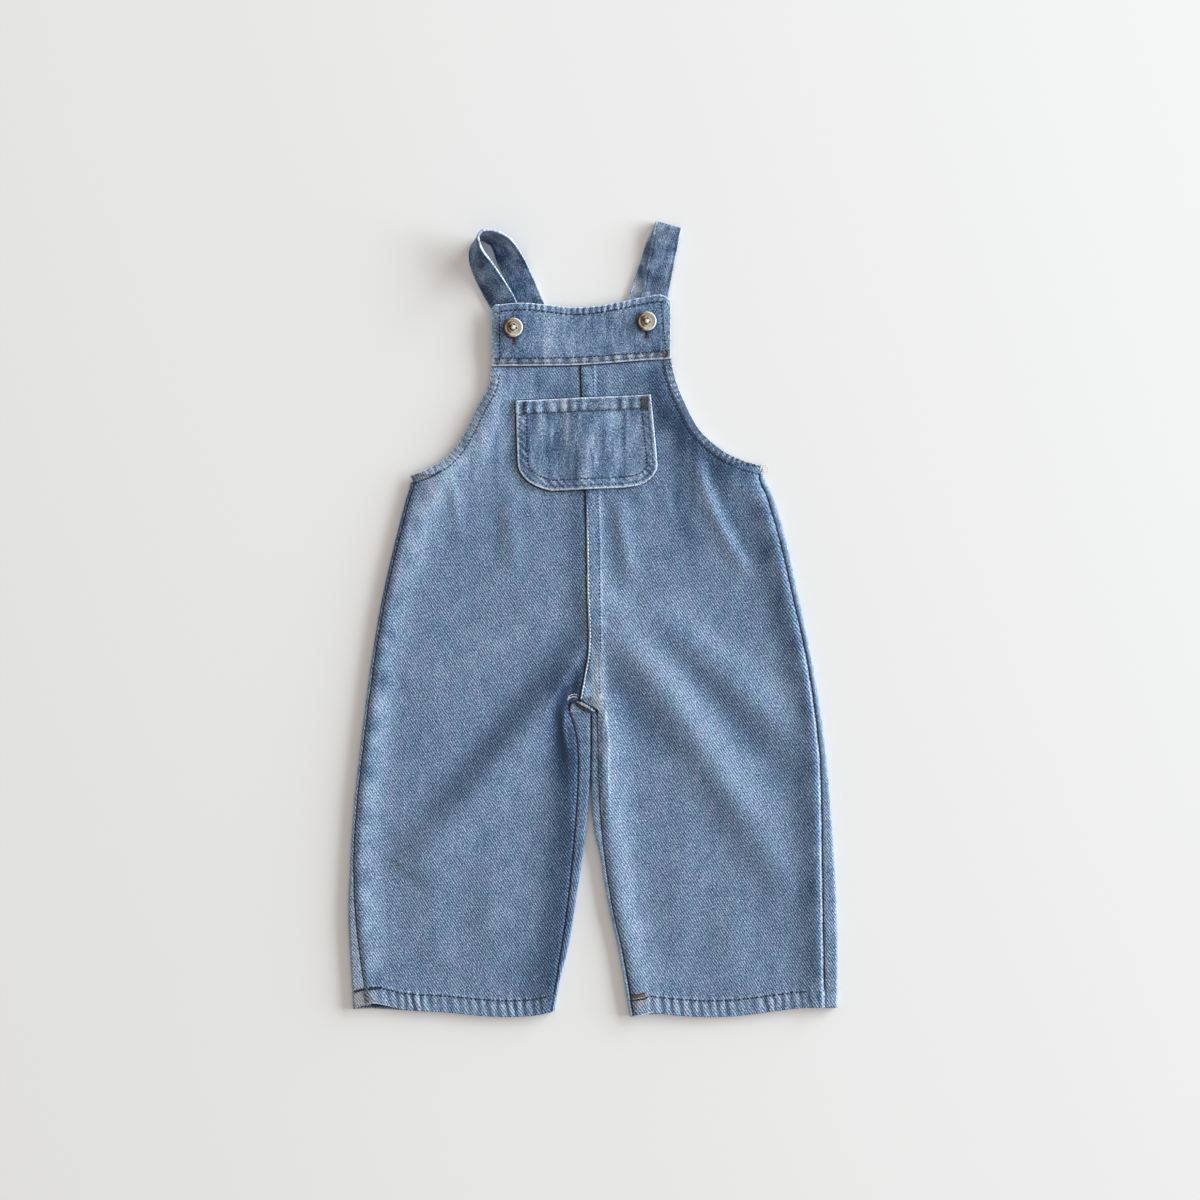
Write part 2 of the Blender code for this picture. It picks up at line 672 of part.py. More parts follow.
def right_strap_table():
    # The strap turns over a half circle at the top, about a line across it.
    top = STRAP_RIGHT_TURN
    out_x, out_y = -math.sin(math.radians(top.turn)), math.cos(math.radians(top.turn))
    turn = []
    for angle in spread(90, -90, 7):
        out, up = TURN * math.cos(math.radians(angle)), TURN * (1 + math.sin(math.radians(angle)))
        turn.append(top._replace(x=top.x + out_x * out, y=top.y + out_y * out, over=up))
    return STRAP_RIGHT_FRONT + turn + STRAP_RIGHT_BACK


# Buttons

def button(name, place, collection, cutters):
    r, h = BUTTON_RADIUS, BUTTON_HEIGHT
    inner = r - BUTTON_RIM
    profile = [
        (0.0, h - BUTTON_DISH), (inner - 1.2, h - BUTTON_DISH), (inner - 0.3, h - 0.5 * BUTTON_DISH),
        (inner + 0.3, h - 0.1), (r - 0.6, h), (r - 0.1, h - 0.5), (r, h - 1.0),
        (r - 0.5, 0.6), (r - 1.6, 0.0), (0.0, 0.0),
    ]
    mesh = bpy.data.meshes.new(name)
    edges = [(i, i + 1) for i in range(len(profile) - 1)]
    mesh.from_pydata([(x * MM, 0.0, z * MM) for x, z in profile], edges, [])
    piece = new_object(name, mesh, new_material(name, HORN, 0.35), collection)
    level = band_level(place.x, place.y) + BAND_CLOTH / 2 + BUTTON_SEAT
    piece.location = (place.x * MM, place.y * MM, level * MM)
    screw = piece.modifiers.new("turned", "SCREW")
    screw.steps = screw.render_steps = BUTTON_STEPS
    screw.use_merge_vertices = True
    screw.merge_threshold = 0.00001
    for n in range(4):
        angle = math.radians(45 + 90 * n)
        bpy.ops.mesh.primitive_cylinder_add(
            vertices=8, radius=BUTTON_HOLE * MM, depth=3 * h * MM,
            location=(
                (place.x + BUTTON_HOLE_AT * math.cos(angle)) * MM,
                (place.y + BUTTON_HOLE_AT * math.sin(angle)) * MM,
                level * MM,
            ),
        )
        cutter = bpy.context.object
        cutter.name = f"{name}_hole_{n + 1}"
        for old in list(cutter.users_collection):
            old.objects.unlink(cutter)
        cutters.objects.link(cutter)
        cutter.hide_render = True
        cutter.display_type = "WIRE"
        cut = piece.modifiers.new(f"hole {n + 1}", "BOOLEAN")
        cut.operation = "DIFFERENCE"
        cut.solver = "EXACT"
        cut.object = cutter
    return piece


def main():
    for old in list(bpy.data.objects):
        bpy.data.objects.remove(old, do_unlink=True)
    scene = bpy.context.scene
    collection = bpy.data.collections.new(COLLECTION)
    cutters = bpy.data.collections.new("cutters")
    scene.collection.children.link(collection)
    scene.collection.children.link(cutters)

    front_panel(LEFT, "front_left", collection)
    front_panel(RIGHT, "front_right", collection)
    back_panel(LEFT, "back_left", collection)
    back_panel(RIGHT, "back_right", collection)
    bib_band(collection)
    pocket(collection)
    strap("strap_left", STRAP_LEFT, collection)
    strap("strap_right", right_strap_table(), collection)
    for name, place in BUTTONS.items():
        button(name, place, collection, cutters)


main()
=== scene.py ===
# Kids dungarees in light washed denim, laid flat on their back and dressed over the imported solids.
# Tables are in millimetres: x to the right and y towards the straps, as seen from above.
import math
from functools import partial

import bpy
import numpy as np
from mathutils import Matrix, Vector


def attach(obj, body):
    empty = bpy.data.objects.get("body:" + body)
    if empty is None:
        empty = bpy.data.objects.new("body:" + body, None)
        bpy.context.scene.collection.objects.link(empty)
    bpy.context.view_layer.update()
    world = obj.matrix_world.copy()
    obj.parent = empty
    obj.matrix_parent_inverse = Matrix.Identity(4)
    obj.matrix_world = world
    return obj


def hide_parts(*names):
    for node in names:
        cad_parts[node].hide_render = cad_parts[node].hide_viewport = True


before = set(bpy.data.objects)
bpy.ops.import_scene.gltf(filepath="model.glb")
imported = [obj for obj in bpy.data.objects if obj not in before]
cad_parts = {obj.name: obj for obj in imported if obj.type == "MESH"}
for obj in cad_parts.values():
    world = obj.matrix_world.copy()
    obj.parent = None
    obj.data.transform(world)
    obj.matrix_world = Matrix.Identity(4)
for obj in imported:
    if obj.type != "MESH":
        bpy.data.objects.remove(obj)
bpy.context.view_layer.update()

mm = 0.001
far = 99.0  # a distance that nothing reaches; a float, because np.full takes its kind


def table(names, *rows):
    # A short table as a dictionary of its columns.
    return dict(zip(names.split(), np.array(rows, float).T))


def columns(rows, names):
    return [rows[name] for name in names.split()]


def spots(*parts):
    # Points, with their parts on the last axis.
    return np.stack(np.broadcast_arrays(*parts), axis=-1)


# Curves and noise

def smoothCurve(keys, values, at):
    order = np.argsort(keys)
    keys, values = np.asarray(keys, float)[order], np.asarray(values, float)[order]
    at = np.clip(at, keys[0], keys[-1])
    slopes = np.gradient(values, keys)
    i = np.clip(np.searchsorted(keys, at) - 1, 0, len(keys) - 2)
    span = keys[i + 1] - keys[i]
    t = (at - keys[i]) / span
    start = (1 + 2 * t) * (1 - t) ** 2 * values[i] + t * (1 - t) ** 2 * span * slopes[i]
    end = t * t * (3 - 2 * t) * values[i + 1] - t * t * (1 - t) * span * slopes[i + 1]
    return start + end


def read(rows, names, at, keys=None):
    # The named columns, or the one, at these places of the table's first column or of other keys.
    keys = next(iter(rows.values())) if keys is None else keys
    found = [smoothCurve(keys, values, at) for values in columns(rows, names)]
    return found if len(found) > 1 else found[0]


def along(rows, names, share):
    # The same at these shares of the way down the table.
    count = len(next(iter(rows.values())))
    return read(rows, names, np.asarray(share) * (count - 1), np.arange(count))


def softStep(t):
    t = np.clip(t, 0, 1)
    return t * t * (3 - 2 * t)


def bump(distance, width):
    return np.exp(-((distance / width) ** 2))


def patches(x, y, size, seed):
    # Smooth random patches of about this size, from -1 to 1, the same at every run.
    lattice = np.random.default_rng(seed).uniform(-1, 1, (64, 64))
    u, v = np.asarray(x) / size + 500, np.asarray(y) / size + 500
    i, j = np.floor(u).astype(int), np.floor(v).astype(int)
    a, b = softStep(u - i), softStep(v - j)
    low = lattice[i % 64, j % 64] * (1 - a) + lattice[(i + 1) % 64, j % 64] * a
    high = lattice[i % 64, (j + 1) % 64] * (1 - a) + lattice[(i + 1) % 64, (j + 1) % 64] * a
    return low * (1 - b) + high * b


def rope(distance, pitch, seed):
    # Uneven ripples along a seam, from -1 to 1.
    drift = 0.32 * patches(distance, 0, 1.6 * pitch, seed)
    strength = 0.7 + 0.5 * patches(distance, 0, 2.1 * pitch, seed + 1)
    return np.sin(2 * math.pi * (distance / pitch + drift)) * strength


def layered(x, y, layers, seed=0):
    # Layers of patches, each with its strength, how much x and y are squeezed, its size and its seed.
    return sum(
        strength * patches(x * squeezeX, y * squeezeY, size, seed + own)
        for strength, squeezeX, squeezeY, size, own in layers
    )


def nearest(line, x, y):
    # Each point's distance to a line of x, y and level, the line's level there and how far along it is.
    a, b = line[:-1], line[1:]
    run = b[:, :2] - a[:, :2]
    length = np.hypot(run[:, 0], run[:, 1])
    start = np.concatenate([[0], np.cumsum(length)[:-1]])
    px, py = np.ravel(x)[:, None], np.ravel(y)[:, None]
    t = np.clip(((px - a[:, 0]) * run[:, 0] + (py - a[:, 1]) * run[:, 1]) / length**2, 0, 1)
    away = np.hypot(a[:, 0] + run[:, 0] * t - px, a[:, 1] + run[:, 1] * t - py)
    i = away.argmin(1)
    k = np.arange(len(i))
    level = a[i, 2] + (b[i, 2] - a[i, 2]) * t[k, i]
    found = away[k, i], level, start[i] + length[i] * t[k, i]
    return [value.reshape(np.shape(x)) for value in found]


def inside(outline, x, y):
    # Whether each point lies in a closed outline.
    a, b = outline, np.roll(outline, -1, axis=0)
    px, py = np.ravel(x)[:, None], np.ravel(y)[:, None]
    crosses = (a[:, 1] > py) != (b[:, 1] > py)
    at = a[:, 0] + (py - a[:, 1]) * (b[:, 0] - a[:, 0]) / (b[:, 1] - a[:, 1] + 1e-9)
    return ((crosses & (px < at)).sum(1) % 2 == 1).reshape(np.shape(x))


def lengthAlong(line):
    # How far along a line each of its points is.
    return np.concatenate([[0], np.cumsum(np.sqrt((np.diff(line, axis=0) ** 2).sum(1)))])


# The cloth

cloth = {"denim": 1.2, "gap": 0.3, "step": 0.9}

sides = {
    "left": table(
        "y edge seam roll",
        (107.8, -136.2, -135.4, 4.6), (103.1, -135.9, -132.9, 4.6), (89.6, -139.5, -136.3, 4.6),
        (59.6, -147.2, -143.9, 4.8), (14.6, -157.5, -154.2, 4.8), (-30.4, -165.2, -162, 4.8),
        (-75.4, -171.2, -168, 4.8), (-105.4, -174.8, -171.6, 4.8), (-135.4, -178.1, -174.9, 4.8),
        (-180.4, -181.1, -177.6, 4.8), (-225.4, -182.5, -176, 4.8), (-255.4, -181, -172.6, 4.6),
        (-293, -178.9, -168.2, 4.4),
    ),
    "right": table(
        "y edge seam roll",
        (115.1, 127, 126, 4.6), (110, 127.9, 124.6, 4.6), (89.6, 136.5, 131.3, 4.8),
        (59.6, 145.3, 140, 5), (14.6, 155.3, 150.4, 5.2), (-30.4, 164.9, 160.4, 5.2),
        (-75.4, 172.1, 167.3, 5), (-105.4, 175.9, 170.3, 5), (-135.4, 178.5, 171.3, 5),
        (-180.4, 181.5, 172, 4.8), (-225.4, 183.5, 172.7, 4.6), (-293, 183.8, 173.9, 4.4),
    ),
}
inseams = {
    "left": table(
        "y seam edge roll",
        (-69.4, -17, -0.75, 5), (-86.6, -12.2, -0.75, 5.2), (-122.6, -10.9, -1.4, 5.2),
        (-150.4, -12.5, -3.7, 5), (-180.4, -15.1, -7.5, 5), (-210.4, -18.2, -12, 4.8),
        (-247.9, -23.6, -18.2, 4.6), (-270.4, -27.2, -24, 4.6), (-293, -31.3, -28.1, 4.4),
    ),
    "right": table(
        "y seam edge roll",
        (-69.4, 4.6, -0.4, 4.8), (-86.6, 5.2, -0.4, 5), (-122.6, 6, -0.8, 5),
        (-157.9, 7.9, 1.3, 5), (-175.9, 9.9, 5.6, 5), (-195.4, 12.6, 8.8, 4.8),
        (-214.2, 15.6, 12.2, 4.8), (-247.9, 23.3, 20, 4.6), (-270.4, 27.7, 24.4, 4.6),
        (-293, 31.4, 28.2, 4.4),
    ),
}
armholes = {
    "left": table(
        "x y", (-75.2, 189.2), (-77.6, 174.5), (-85.5, 159.5), (-96.5, 138), (-107.6, 122.6),
        (-121, 113.6), (-135.4, 107.8),
    ),
    "right": table(
        "x y", (59.3, 195), (62.5, 180), (69.5, 162), (80.5, 142), (96.8, 127.1),
        (112, 119.3), (126, 115.1),
    ),
}
backArmholes = {
    "left": table("x y", (-48, 212.3), (-56, 180), (-74, 140), (-100, 112), (-133.5, 103.1)),
    "right": table("x y", (41.5, 212.3), (47, 180), (62, 146), (88, 117), (125.5, 109)),
}
hems = {
    "left": table(
        "x front back",
        (-180, -291.9, -291.9), (-172, -289, -291.6), (-164.3, -287, -291.4),
        (-156, -288.4, -291.8), (-146, -291, -292.5), (-110, -294, -294),
        (-60, -297.4, -296.4), (-42, -296.2, -295.4), (-28, -292.9, -292.9),
    ),
    "right": table(
        "x front back",
        (28, -297.2, -297.2), (36, -296.2, -296.4), (44.3, -294.2, -295.6), (52.5, -295.2, -295.6),
        (102, -297.2, -296.4), (140, -292.8, -292.6), (158, -290.7, -290.9), (184, -290.6, -290.6),
    ),
}
crotches = {
    "left": table("x y", (-17, -69.4), (-17.5, -63.2), (-9.15, -59.6)),
    "right": table("x y", (4.75, -69.4), (3.2, -66.8), (-4.5, -63.4), (-8.85, -59.6)),
}
centreSeam = table(
    "y x", (190, -8.5), (165.4, -7.7), (95.6, -4.9), (61.1, -4), (19.1, -3.5), (-15.4, -2.4),
    (-30.4, -3.6), (-42.4, -6), (-59.6, -9),
)
fell = table(
    "y x", (190, 1.5), (165.4, 2.3), (95.6, 5.1), (61.1, 6), (19.1, 6.5), (-15.4, 7.2),
    (-42.4, 7.6), (-58, 8.6), (-70, 10.6), (-82, 12), (-122, 12.9), (-170, 15),
)
body = {
    "bibTop": 190, "bibFoot": 100, "crotch": -59.6, "legTop": -69.4, "hem": -293,
    "hemFade": 60, "hemWidth": 13.4, "hemRaise": 0.8, "hemStitch": 12.3,
    "armholeHem": 6.8, "armholeRaise": 0.6, "fellWidth": 10, "fellRaise": 0.8,
    "lowest": 2, "armholeEdge": 2.6, "crotchEdge": 4.6, "bandReach": 18, "cornerLift": 20,
    "valley": 0.75, "valleyWidth": 0.9, "fellFoot": -170, "pocketFoot": 104,
    "uneven": ((0.22, 1, 1, 34, 3), (0.1, 1, 1, 12, 4)),
}
signs = {"left": -1, "right": 1}

# The front lies in shallow hollows between its seams: its level there, and the rims along the seams,
# with how far each stands above its seam, how wide it stays and over how much it falls.
rests = table("y level", (200, 3.4), (120, 3.1), (60, 2.6), (0, 2.4), (-290, 2.4))
rims = {
    "side": table(
        "y top flat fall", (110, 1.2, 2, 11), (0, 1.4, 1, 12), (-150, 1.6, 1, 14), (-290, 0.6, 1, 12),
    ),
    "inseam left": table(
        "y top flat fall",
        (-65, 1.2, 2, 9), (-90, 0.5, 0.3, 13), (-150, 0.25, 0, 16), (-220, 0.2, 0, 16), (-290, 0.1, 0, 13),
    ),
    "inseam right": table(
        "y top flat fall",
        (-65, 0.9, 7, 11), (-100, 1.2, 7, 11), (-150, 1.3, 6, 12), (-220, 1.2, 4, 13), (-290, 0.4, 3, 12),
    ),
    "armhole": {"height": 3, "flat": 5, "fall": 22, "edge": 4.5},
    "centre": {"height": 0.9, "fall": 12},
}
# Its folds: soft ridges and troughs, and how much lighter or darker they are painted: the wash that pales
# ridges, and painted shade and highlight on their flanks, some rows with no height at all.
folds = table(
    "x1 y1 x2 y2 bow width lean height fade",
    (-112, 126, -152, 6, 0, 9, 0.45, 2.4, 0.9),
    (-104, 108, -98, 60, 0, 3.5, 0, 0.6, 0.3),
    (10, -2, -142, -188, 5, 17, 0.3, 4.2, 0.1),
    (6, 6, -124, -156, -1, 13, 0, -0.4, -0.8),
    (-16, 14, -142, -50, 2, 13, 0, 1.3, 0.25),
    (-19, -32, -21, -124, -2, 10, 0, -0.8, -1.35),
    (-8, -36, -20, -78, 4, 3.2, 0, 1.5, 0.25),
    (-2, -18, -36, -80, -4, 3.6, 0, 0.8, 0.4),
    (-15.8, -50, -16.6, -98, -4, 1.7, 0, 0.7, 1.7),
    (-19.2, -48, -20.4, -108, -4.2, 3, 0, -0.5, -1.7),
    (-3, -23, -27, -76, 3, 5, 0, -0.6, -1.9),
    (-23, -56, -14, -150, -2, 3.6, 0, 1.3, 0.25),
    (-15, -70, -32, -298, 4, 14, 0, -0.2, -1.45),
    (-142, 10, -166, -150, -4, 9, 0, 0, 0.4),
    (-166, -120, -164, -286, 2, 9, 0, 0, 0.55),
    (-8, 28, 150, -206, -6, 17, -0.1, 3.8, 0),
    (-4, 36, 128, -146, -5, 13, 0, 0, 0.6),
    (34, 16, 166, -106, -3, 15, 0, 2.6, 0),
    (54, 16, 160, -74, -3, 10, 0, 0, 0.25),
    (8, -26, 60, -104, 4, 11, 0, -0.3, -0.6),
    (36, 0, 158, -128, -2, 11, 0, -0.3, -0.6),
    (6, -20, 16, -130, 1, 8, 0, 0, 0.4),
    (14, -110, 40, -288, 2, 9, 0, 0, 0.45),
    (76, 124, 118, 32, 4, 6, 0.2, 1.8, 0.35),
    (66, 134, 76, 40, 3, 8, 0, -0.3, -0.8),
    (90, 118, 128, 40, 4, 7, 0, -0.2, -0.7),
    (122, 70, 160, -60, 3, 8, 0, 0, -0.45),
    (159, -50, 163, -290, 2, 9, 0, 0, -0.35),
    (52, 184, 122, 106, 17, 10, 0, 0, -1.5),
    (20, 94, 31, 26, 1, 6, 0, 1, 0.3),
    (14, 92, 18, 20, 0, 5, 0, -0.2, -0.4),
    (-62, 96, -58, 34, 0, 7, 0, 1, 0.1),
    (-70, 96, -68, 40, 0, 5, 0, -0.1, -0.3),
    (-14, 104, -11, -24, 0, 6, 0, -0.2, -0.55),
    (-120, -150, -112, -262, 3, 14, 0, 0.8, 0.1),
    (-70, -150, -74, -270, -3, 12, 0, 0.8, 0),
    (66, -140, 60, -262, 3, 14, 0, 0.7, 0),
    (106, -196, 108, -276, 3, 12, 0, 0.8, 0.05),
    (84, -146, 146, -216, -2, 12, 0, 0, -0.15),
    (-66, 188, -84, 112, -2, 8, 0, 0.9, 0.25),
    (46, 188, 58, 140, 2, 7, 0, 0.3, -0.7),
)
# Places painted darker or lighter, or greyer: the wash's blotches along the seams, and painted shade and
# highlight under the band, beside the left armhole, near the crotch and low on the left leg.
marks = table(
    "x y reachX reachY fade grey",
    (-126, 96, 4, 7, -0.9, 0), (-130, 72, 4, 6, -0.8, 0), (-137, 44, 4, 7, -0.7, 0),
    (-144, 16, 4, 7, -0.7, 0), (-150, -13, 4, 6, -0.6, 0), (-156, -43, 5, 7, -0.7, 0),
    (-163, -78, 5, 7, -0.6, 0), (-167, -110, 5, 8, -0.7, 0), (-169, -150, 5, 8, -0.5, 0),
    (-169, -192, 5, 10, -0.6, 0), (-160, -270, 5, 8, -0.8, 0), (-164, -236, 5, 8, -0.4, 0),
    (120, 80, 5, 8, -0.5, 0), (130, 50, 4, 8, -0.6, 0), (140, 16, 4, 8, -0.6, 0),
    (151, -20, 5, 8, -0.5, 0), (160, -64, 4, 8, -0.6, 0), (164, -104, 4, 8, -0.55, 0),
    (166, -150, 5, 9, -0.6, 0), (165, -200, 5, 10, -0.5, 0), (166, -250, 5, 9, -0.55, 0),
    (3, -44, 7, 16, -0.1, 0.5), (2, -20, 6, 14, -0.1, 0.3), (-166, -286, 7, 6, 0.35, 0.9),
    (36, -287, 8, 6, 0.3, 0.8), (-80, 178, 5, 9, -0.1, 0.4), (-38, 176, 10, 7, -0.35, 0),
    (30, 180, 12, 7, -0.35, 0), (48, 184, 8, 7, -0.7, 0), (-26, -66, 6, 24, -0.5, 0),
    (-10, 171, 42, 4, -0.3, 0),
    (-94, 144, 25, 26, 0.95, 0), (-118, 112, 26, 28, 0.45, 0), (-9, -6, 7, 12, 0.55, 0),
    (-46, -268, 20, 26, -0.45, 0), (-130, 108, 7, 4, -0.2, 1), (-74, 174, 8, 14, 0.5, 0),
    (4, -62, 5, 8, 0.1, 0.6),
)


def foldsAt(x, y, column):
    # What the folds add at each point. A fold runs from x1 y1 to x2 y2, is bowed sideways, and one
    # side of it is wider than the other by its lean.
    total = np.zeros(np.shape(x))
    shape = columns(folds, "x1 y1 x2 y2 bow width lean " + column)
    for x1, y1, x2, y2, bow, width, lean, value in zip(*shape):
        runX, runY = x2 - x1, y2 - y1
        length = math.hypot(runX, runY)
        t = ((x - x1) * runX + (y - y1) * runY) / length**2
        ends = np.sqrt(np.clip(4 * t * (1 - t), 0, 1)) * ((t > 0) & (t < 1))
        away = ((x - x1) * runY - (y - y1) * runX) / length * (1 if runX > 0 else -1)
        away = away - bow * 4 * t * (1 - t)
        total += value * bump(away, width * (1 + lean * np.tanh(away / width))) * ends
    return total


def marksAt(x, y, column):
    total = np.zeros(np.shape(x))
    for cx, cy, reachX, reachY, value in zip(*columns(marks, "x y reachX reachY " + column)):
        total += value * np.exp(-(((x - cx) / reachX) ** 2) - ((y - cy) / reachY) ** 2)
    return total


# Outlines

def sideSeam(half, y):
    return read(sides[half], "seam", y)


def centreAt(y):
    return read(centreSeam, "x", y)


def fromCentre(half, x, y):
    return signs[half] * (x - centreAt(np.maximum(y, body["crotch"])))


def armholeLine(half):
    share = np.linspace(0, 1, 60)
    x, y = along(armholes[half], "x y", share)
    edge = body["armholeEdge"]
    corner = sides[half]["roll"][0] - cloth["denim"] / 2
    near = bump(np.hypot(x - x[-1], y - y[-1]), body["cornerLift"])
    return spots(x, y, edge + (corner - edge) * near)


def seamLine(rows, start, count):
    # A rolled seam, from its start to a little past the hem.
    y = np.linspace(start, body["hem"] - 6, count)
    seam, roll = read(rows, "seam roll", y)
    return spots(seam, y, roll - cloth["denim"] / 2)


def hemAt(half, x, column="front"):
    return read(hems[half], column, x)


def hemShift(half, x, y, column="front"):
    # How far a row near the hem moves to follow it.
    fade = body["hemFade"]
    share = softStep((body["hem"] + fade - y) / (fade - body["hemWidth"] - cloth["step"]))
    return share * (hemAt(half, x, column) - body["hem"])


lines = {
    half: {
        "armhole": armholeLine(half), "side": seamLine(sides[half], sides[half]["y"][0], 90),
        "inseam": seamLine(inseams[half], body["legTop"], 70),
        "crotch": spots(*columns(crotches[half], "x y"), body["crotchEdge"])[::-1],
    }
    for half in signs
}

# Band and pocket

buttonPlaces = {"left": (-58.7, 218), "right": (41, 222.7)}
band = {
    "rows": table(
        "x bottom top low high",
        (-75.2, 189.5, 232.4, 3.7, 4.9), (-72.6, 189.5, 234.9, 3.8, 5.2),
        (-68, 189.6, 235.5, 3.9, 5.5), (-53, 189.7, 236.6, 4, 5.8),
        (-37, 189.9, 235.6, 4, 5.1), (-15, 190.2, 233.4, 4, 4.5),
        (5, 191.3, 234.6, 4, 4.6), (24, 192.8, 237.9, 4.1, 5.2),
        (40, 194, 241.2, 4.2, 5.3), (54.5, 195.1, 241.6, 4.1, 5.3),
        (58.9, 195.4, 238.4, 4, 5.1),
    ),
    "thickness": 1.9, "shoulder": 0.4, "columns": 180, "rowCount": 52,
    "topStitch": 5.2, "sideStitch": 6.2, "bottomStitch": 5.6, "edgeStitch": 1.9,
    "ripple": 0.4, "ripplePitch": 4.6, "footRipple": 0.12, "footPitch": 8.5, "step": 1.2, "underButton": 7.2,
    "uneven": ((0.12, 1, 1, 14, 63),),
    "wash": ((0.3, 1, 1, 17, 65), (0.55, 1.7, 0.4, 5, 66)),
    # Painted shade and highlight along the band: where it is darker or lighter
    "faded": (
        (-72, -64, -52, -38, -30, -20, 0, 20, 34, 46, 54),
        (0.1, -0.3, -0.7, 0.1, 0.15, 0.1, -0.1, -0.1, -0.4, -0.6, 0.2),
    ),
}
pocket = {
    "rows": table(
        "leftX leftY rightX rightY",
        (-56.8, 163.5, 43.9, 168), (-56.4, 142, 46.5, 143), (-55.8, 122, 48.6, 121),
        (-54.6, 112.5, 48.4, 112), (-49.7, 105.2, 43.6, 105.4), (-42, 100, 36.5, 101),
        (-31, 96.3, 24, 98.7),
    ),
    "thickness": 1.2, "mouthHem": 10, "mouthRaise": 0.7, "fellFade": 12, "lift": 0.55,
    "rowCount": 72, "columns": 120, "edgeStitch": 3, "innerStitch": 7.8, "mouthPitch": 8,
    "wash": ((0.2, 1, 1, 16, 77), (0.7, 1, 0.2, 3, 79)),
    "streaks": (
        (-56, -47, -38, -29, -20, -12, -3, 6, 14, 22, 31, 40, 48),
        (-0.2, -0.5, 0.2, -0.3, 0.35, -0.4, 0.3, -0.35, 0.3, -0.3, 0.35, -0.4, 0.1),
    ),
}


def pocketEnds(drop):
    # The ends of the pocket's rows at these shares of its depth.
    left = pocket["rows"]["leftY"]
    share = np.interp(drop, (left[0] - left) / (left[0] - left[-1]), np.linspace(0, 1, len(left)))
    return along(pocket["rows"], "leftX leftY rightX rightY", share)


def pocketPath(count):
    leftX, leftY, rightX, rightY = pocketEnds(np.linspace(0, 1, count))
    return np.concatenate([spots(leftX, leftY, 0), spots(rightX, rightY, 0)[::-1]])


def mouthAt(x):
    leftX, leftY, rightX, rightY = pocketEnds(0)
    return leftY + (x - leftX) * (rightY - leftY) / (rightX - leftX)


pocketEdge = pocketPath(60)


def pocketDistance(x, y):
    # Positive outside the pocket and negative under it.
    away = nearest(np.concatenate([pocketEdge, pocketEdge[:1]]), x, y)[0]
    return np.where(inside(pocketEdge, x, y), -away, away)


def bandBottom(x):
    return read(band["rows"], "bottom", x)


def bandTop(x):
    return read(band["rows"], "top", x)


def bandBase(x, y):
    # The band's level without its ripples. It reaches its high level at its shoulder.
    bottom, top, low, high = read(band["rows"], "bottom top low high", x)
    return low + (high - low) * softStep((y - bottom) / (top - bottom) / band["shoulder"])


# Surfaces: level, extra thickness, how faded and grey they are with their painted shade and highlight, and
# their trim

def within(distance, step=cloth["step"]):
    return softStep(distance / step + 0.5)


def only(mask, distance):
    return np.where(mask, distance, far)


def trimOf(worn, dark, *sewn):
    # The distances to a worn edge, to painted shade in seams' gaps and under edges, and to the nearest line
    # of stitches.
    sewn = np.stack(np.broadcast_arrays(*sewn))
    stitch = np.take_along_axis(sewn, np.abs(sewn).argmin(0)[None], 0)[0]
    return spots(worn, dark, np.clip(stitch, -9, 9))


def topOf(surface, thickness):
    # Says how high the upper face of a surface is at x, y.
    def top(x, y):
        found = surface(x, y)
        return found["level"] + found.get("extra", 0) + thickness / 2

    return top


# Front panels

frontPanel = {
    "bibRows": 132, "hipRows": 96, "crotchRows": 9, "legSpacing": 1.9, "middleColumns": 70,
    "outerSteps": (0, 0.5, 1, 1.8, 2.8, 4, 5.2, 6.2, 7, 7.8, 9),
    "innerSteps": (0, 0.5, 1, 1.6, 2.3, 3, 3.7, 4.4, 5.1, 5.8, 6.5, 7.2, 7.9, 8.6, 9.2, 9.8, 10.6, 11.6),
    "hemSteps": (16.4, 14.8, 13.8, 13.1, 12.3, 11.2, 9.6, 8, 6.4, 4.8, 3.2, 1.6, 0.6, 0),
    "wash": ((0.10, 1, 1, 34, 5), (0.12, 1.7, 1, 12, 6), (0.15, 1, 0.5, 5, 48)),
    # How high the stitching draws the cloth up, the pitch of its ripples and how they show in the wash
    "height": {"hem": 0.32, "armhole": 0.3, "side": 0.25, "fell": 0.1, "pocket": 0.15},
    "pitch": {"hem": 6.9, "armhole": 4.3, "side": 24, "fell": 6.5, "pocket": 7.5},
    "shade": {"hem": 1.15, "armhole": 1.3, "side": 0.25, "fell": 0.18, "pocket": 0.4},
    "hemReach": 40, "pullReach": 7, "tackReach": 9, "cornerReach": 36,
    # How far its edges are from worn, how its hems have faded, and the painted shade on the cloth just under
    # the band
    "armholeWorn": 0.35, "hemWorn": 0.3, "centreWorn": 0.2, "hemFaded": 0.15, "underBandShade": -0.35,
    "left": {
        "seed": {"hem": 17, "armhole": 23, "side": 37}, "tack": -164, "corner": -148, "pucker": 1,
        "armholeLightAndShade": 0.1, "hemStart": 1,
    },
    "right": {
        "seed": {"hem": 11, "armhole": 29, "side": 31}, "tack": 37, "corner": 47, "pucker": 1.6,
        "armholeLightAndShade": -0.75, "hemStart": 7,
    },
}


def seamsNear(half, x, y):
    return [nearest(lines[half][name], x, y) for name in ("armhole", "side", "inseam", "crotch")]


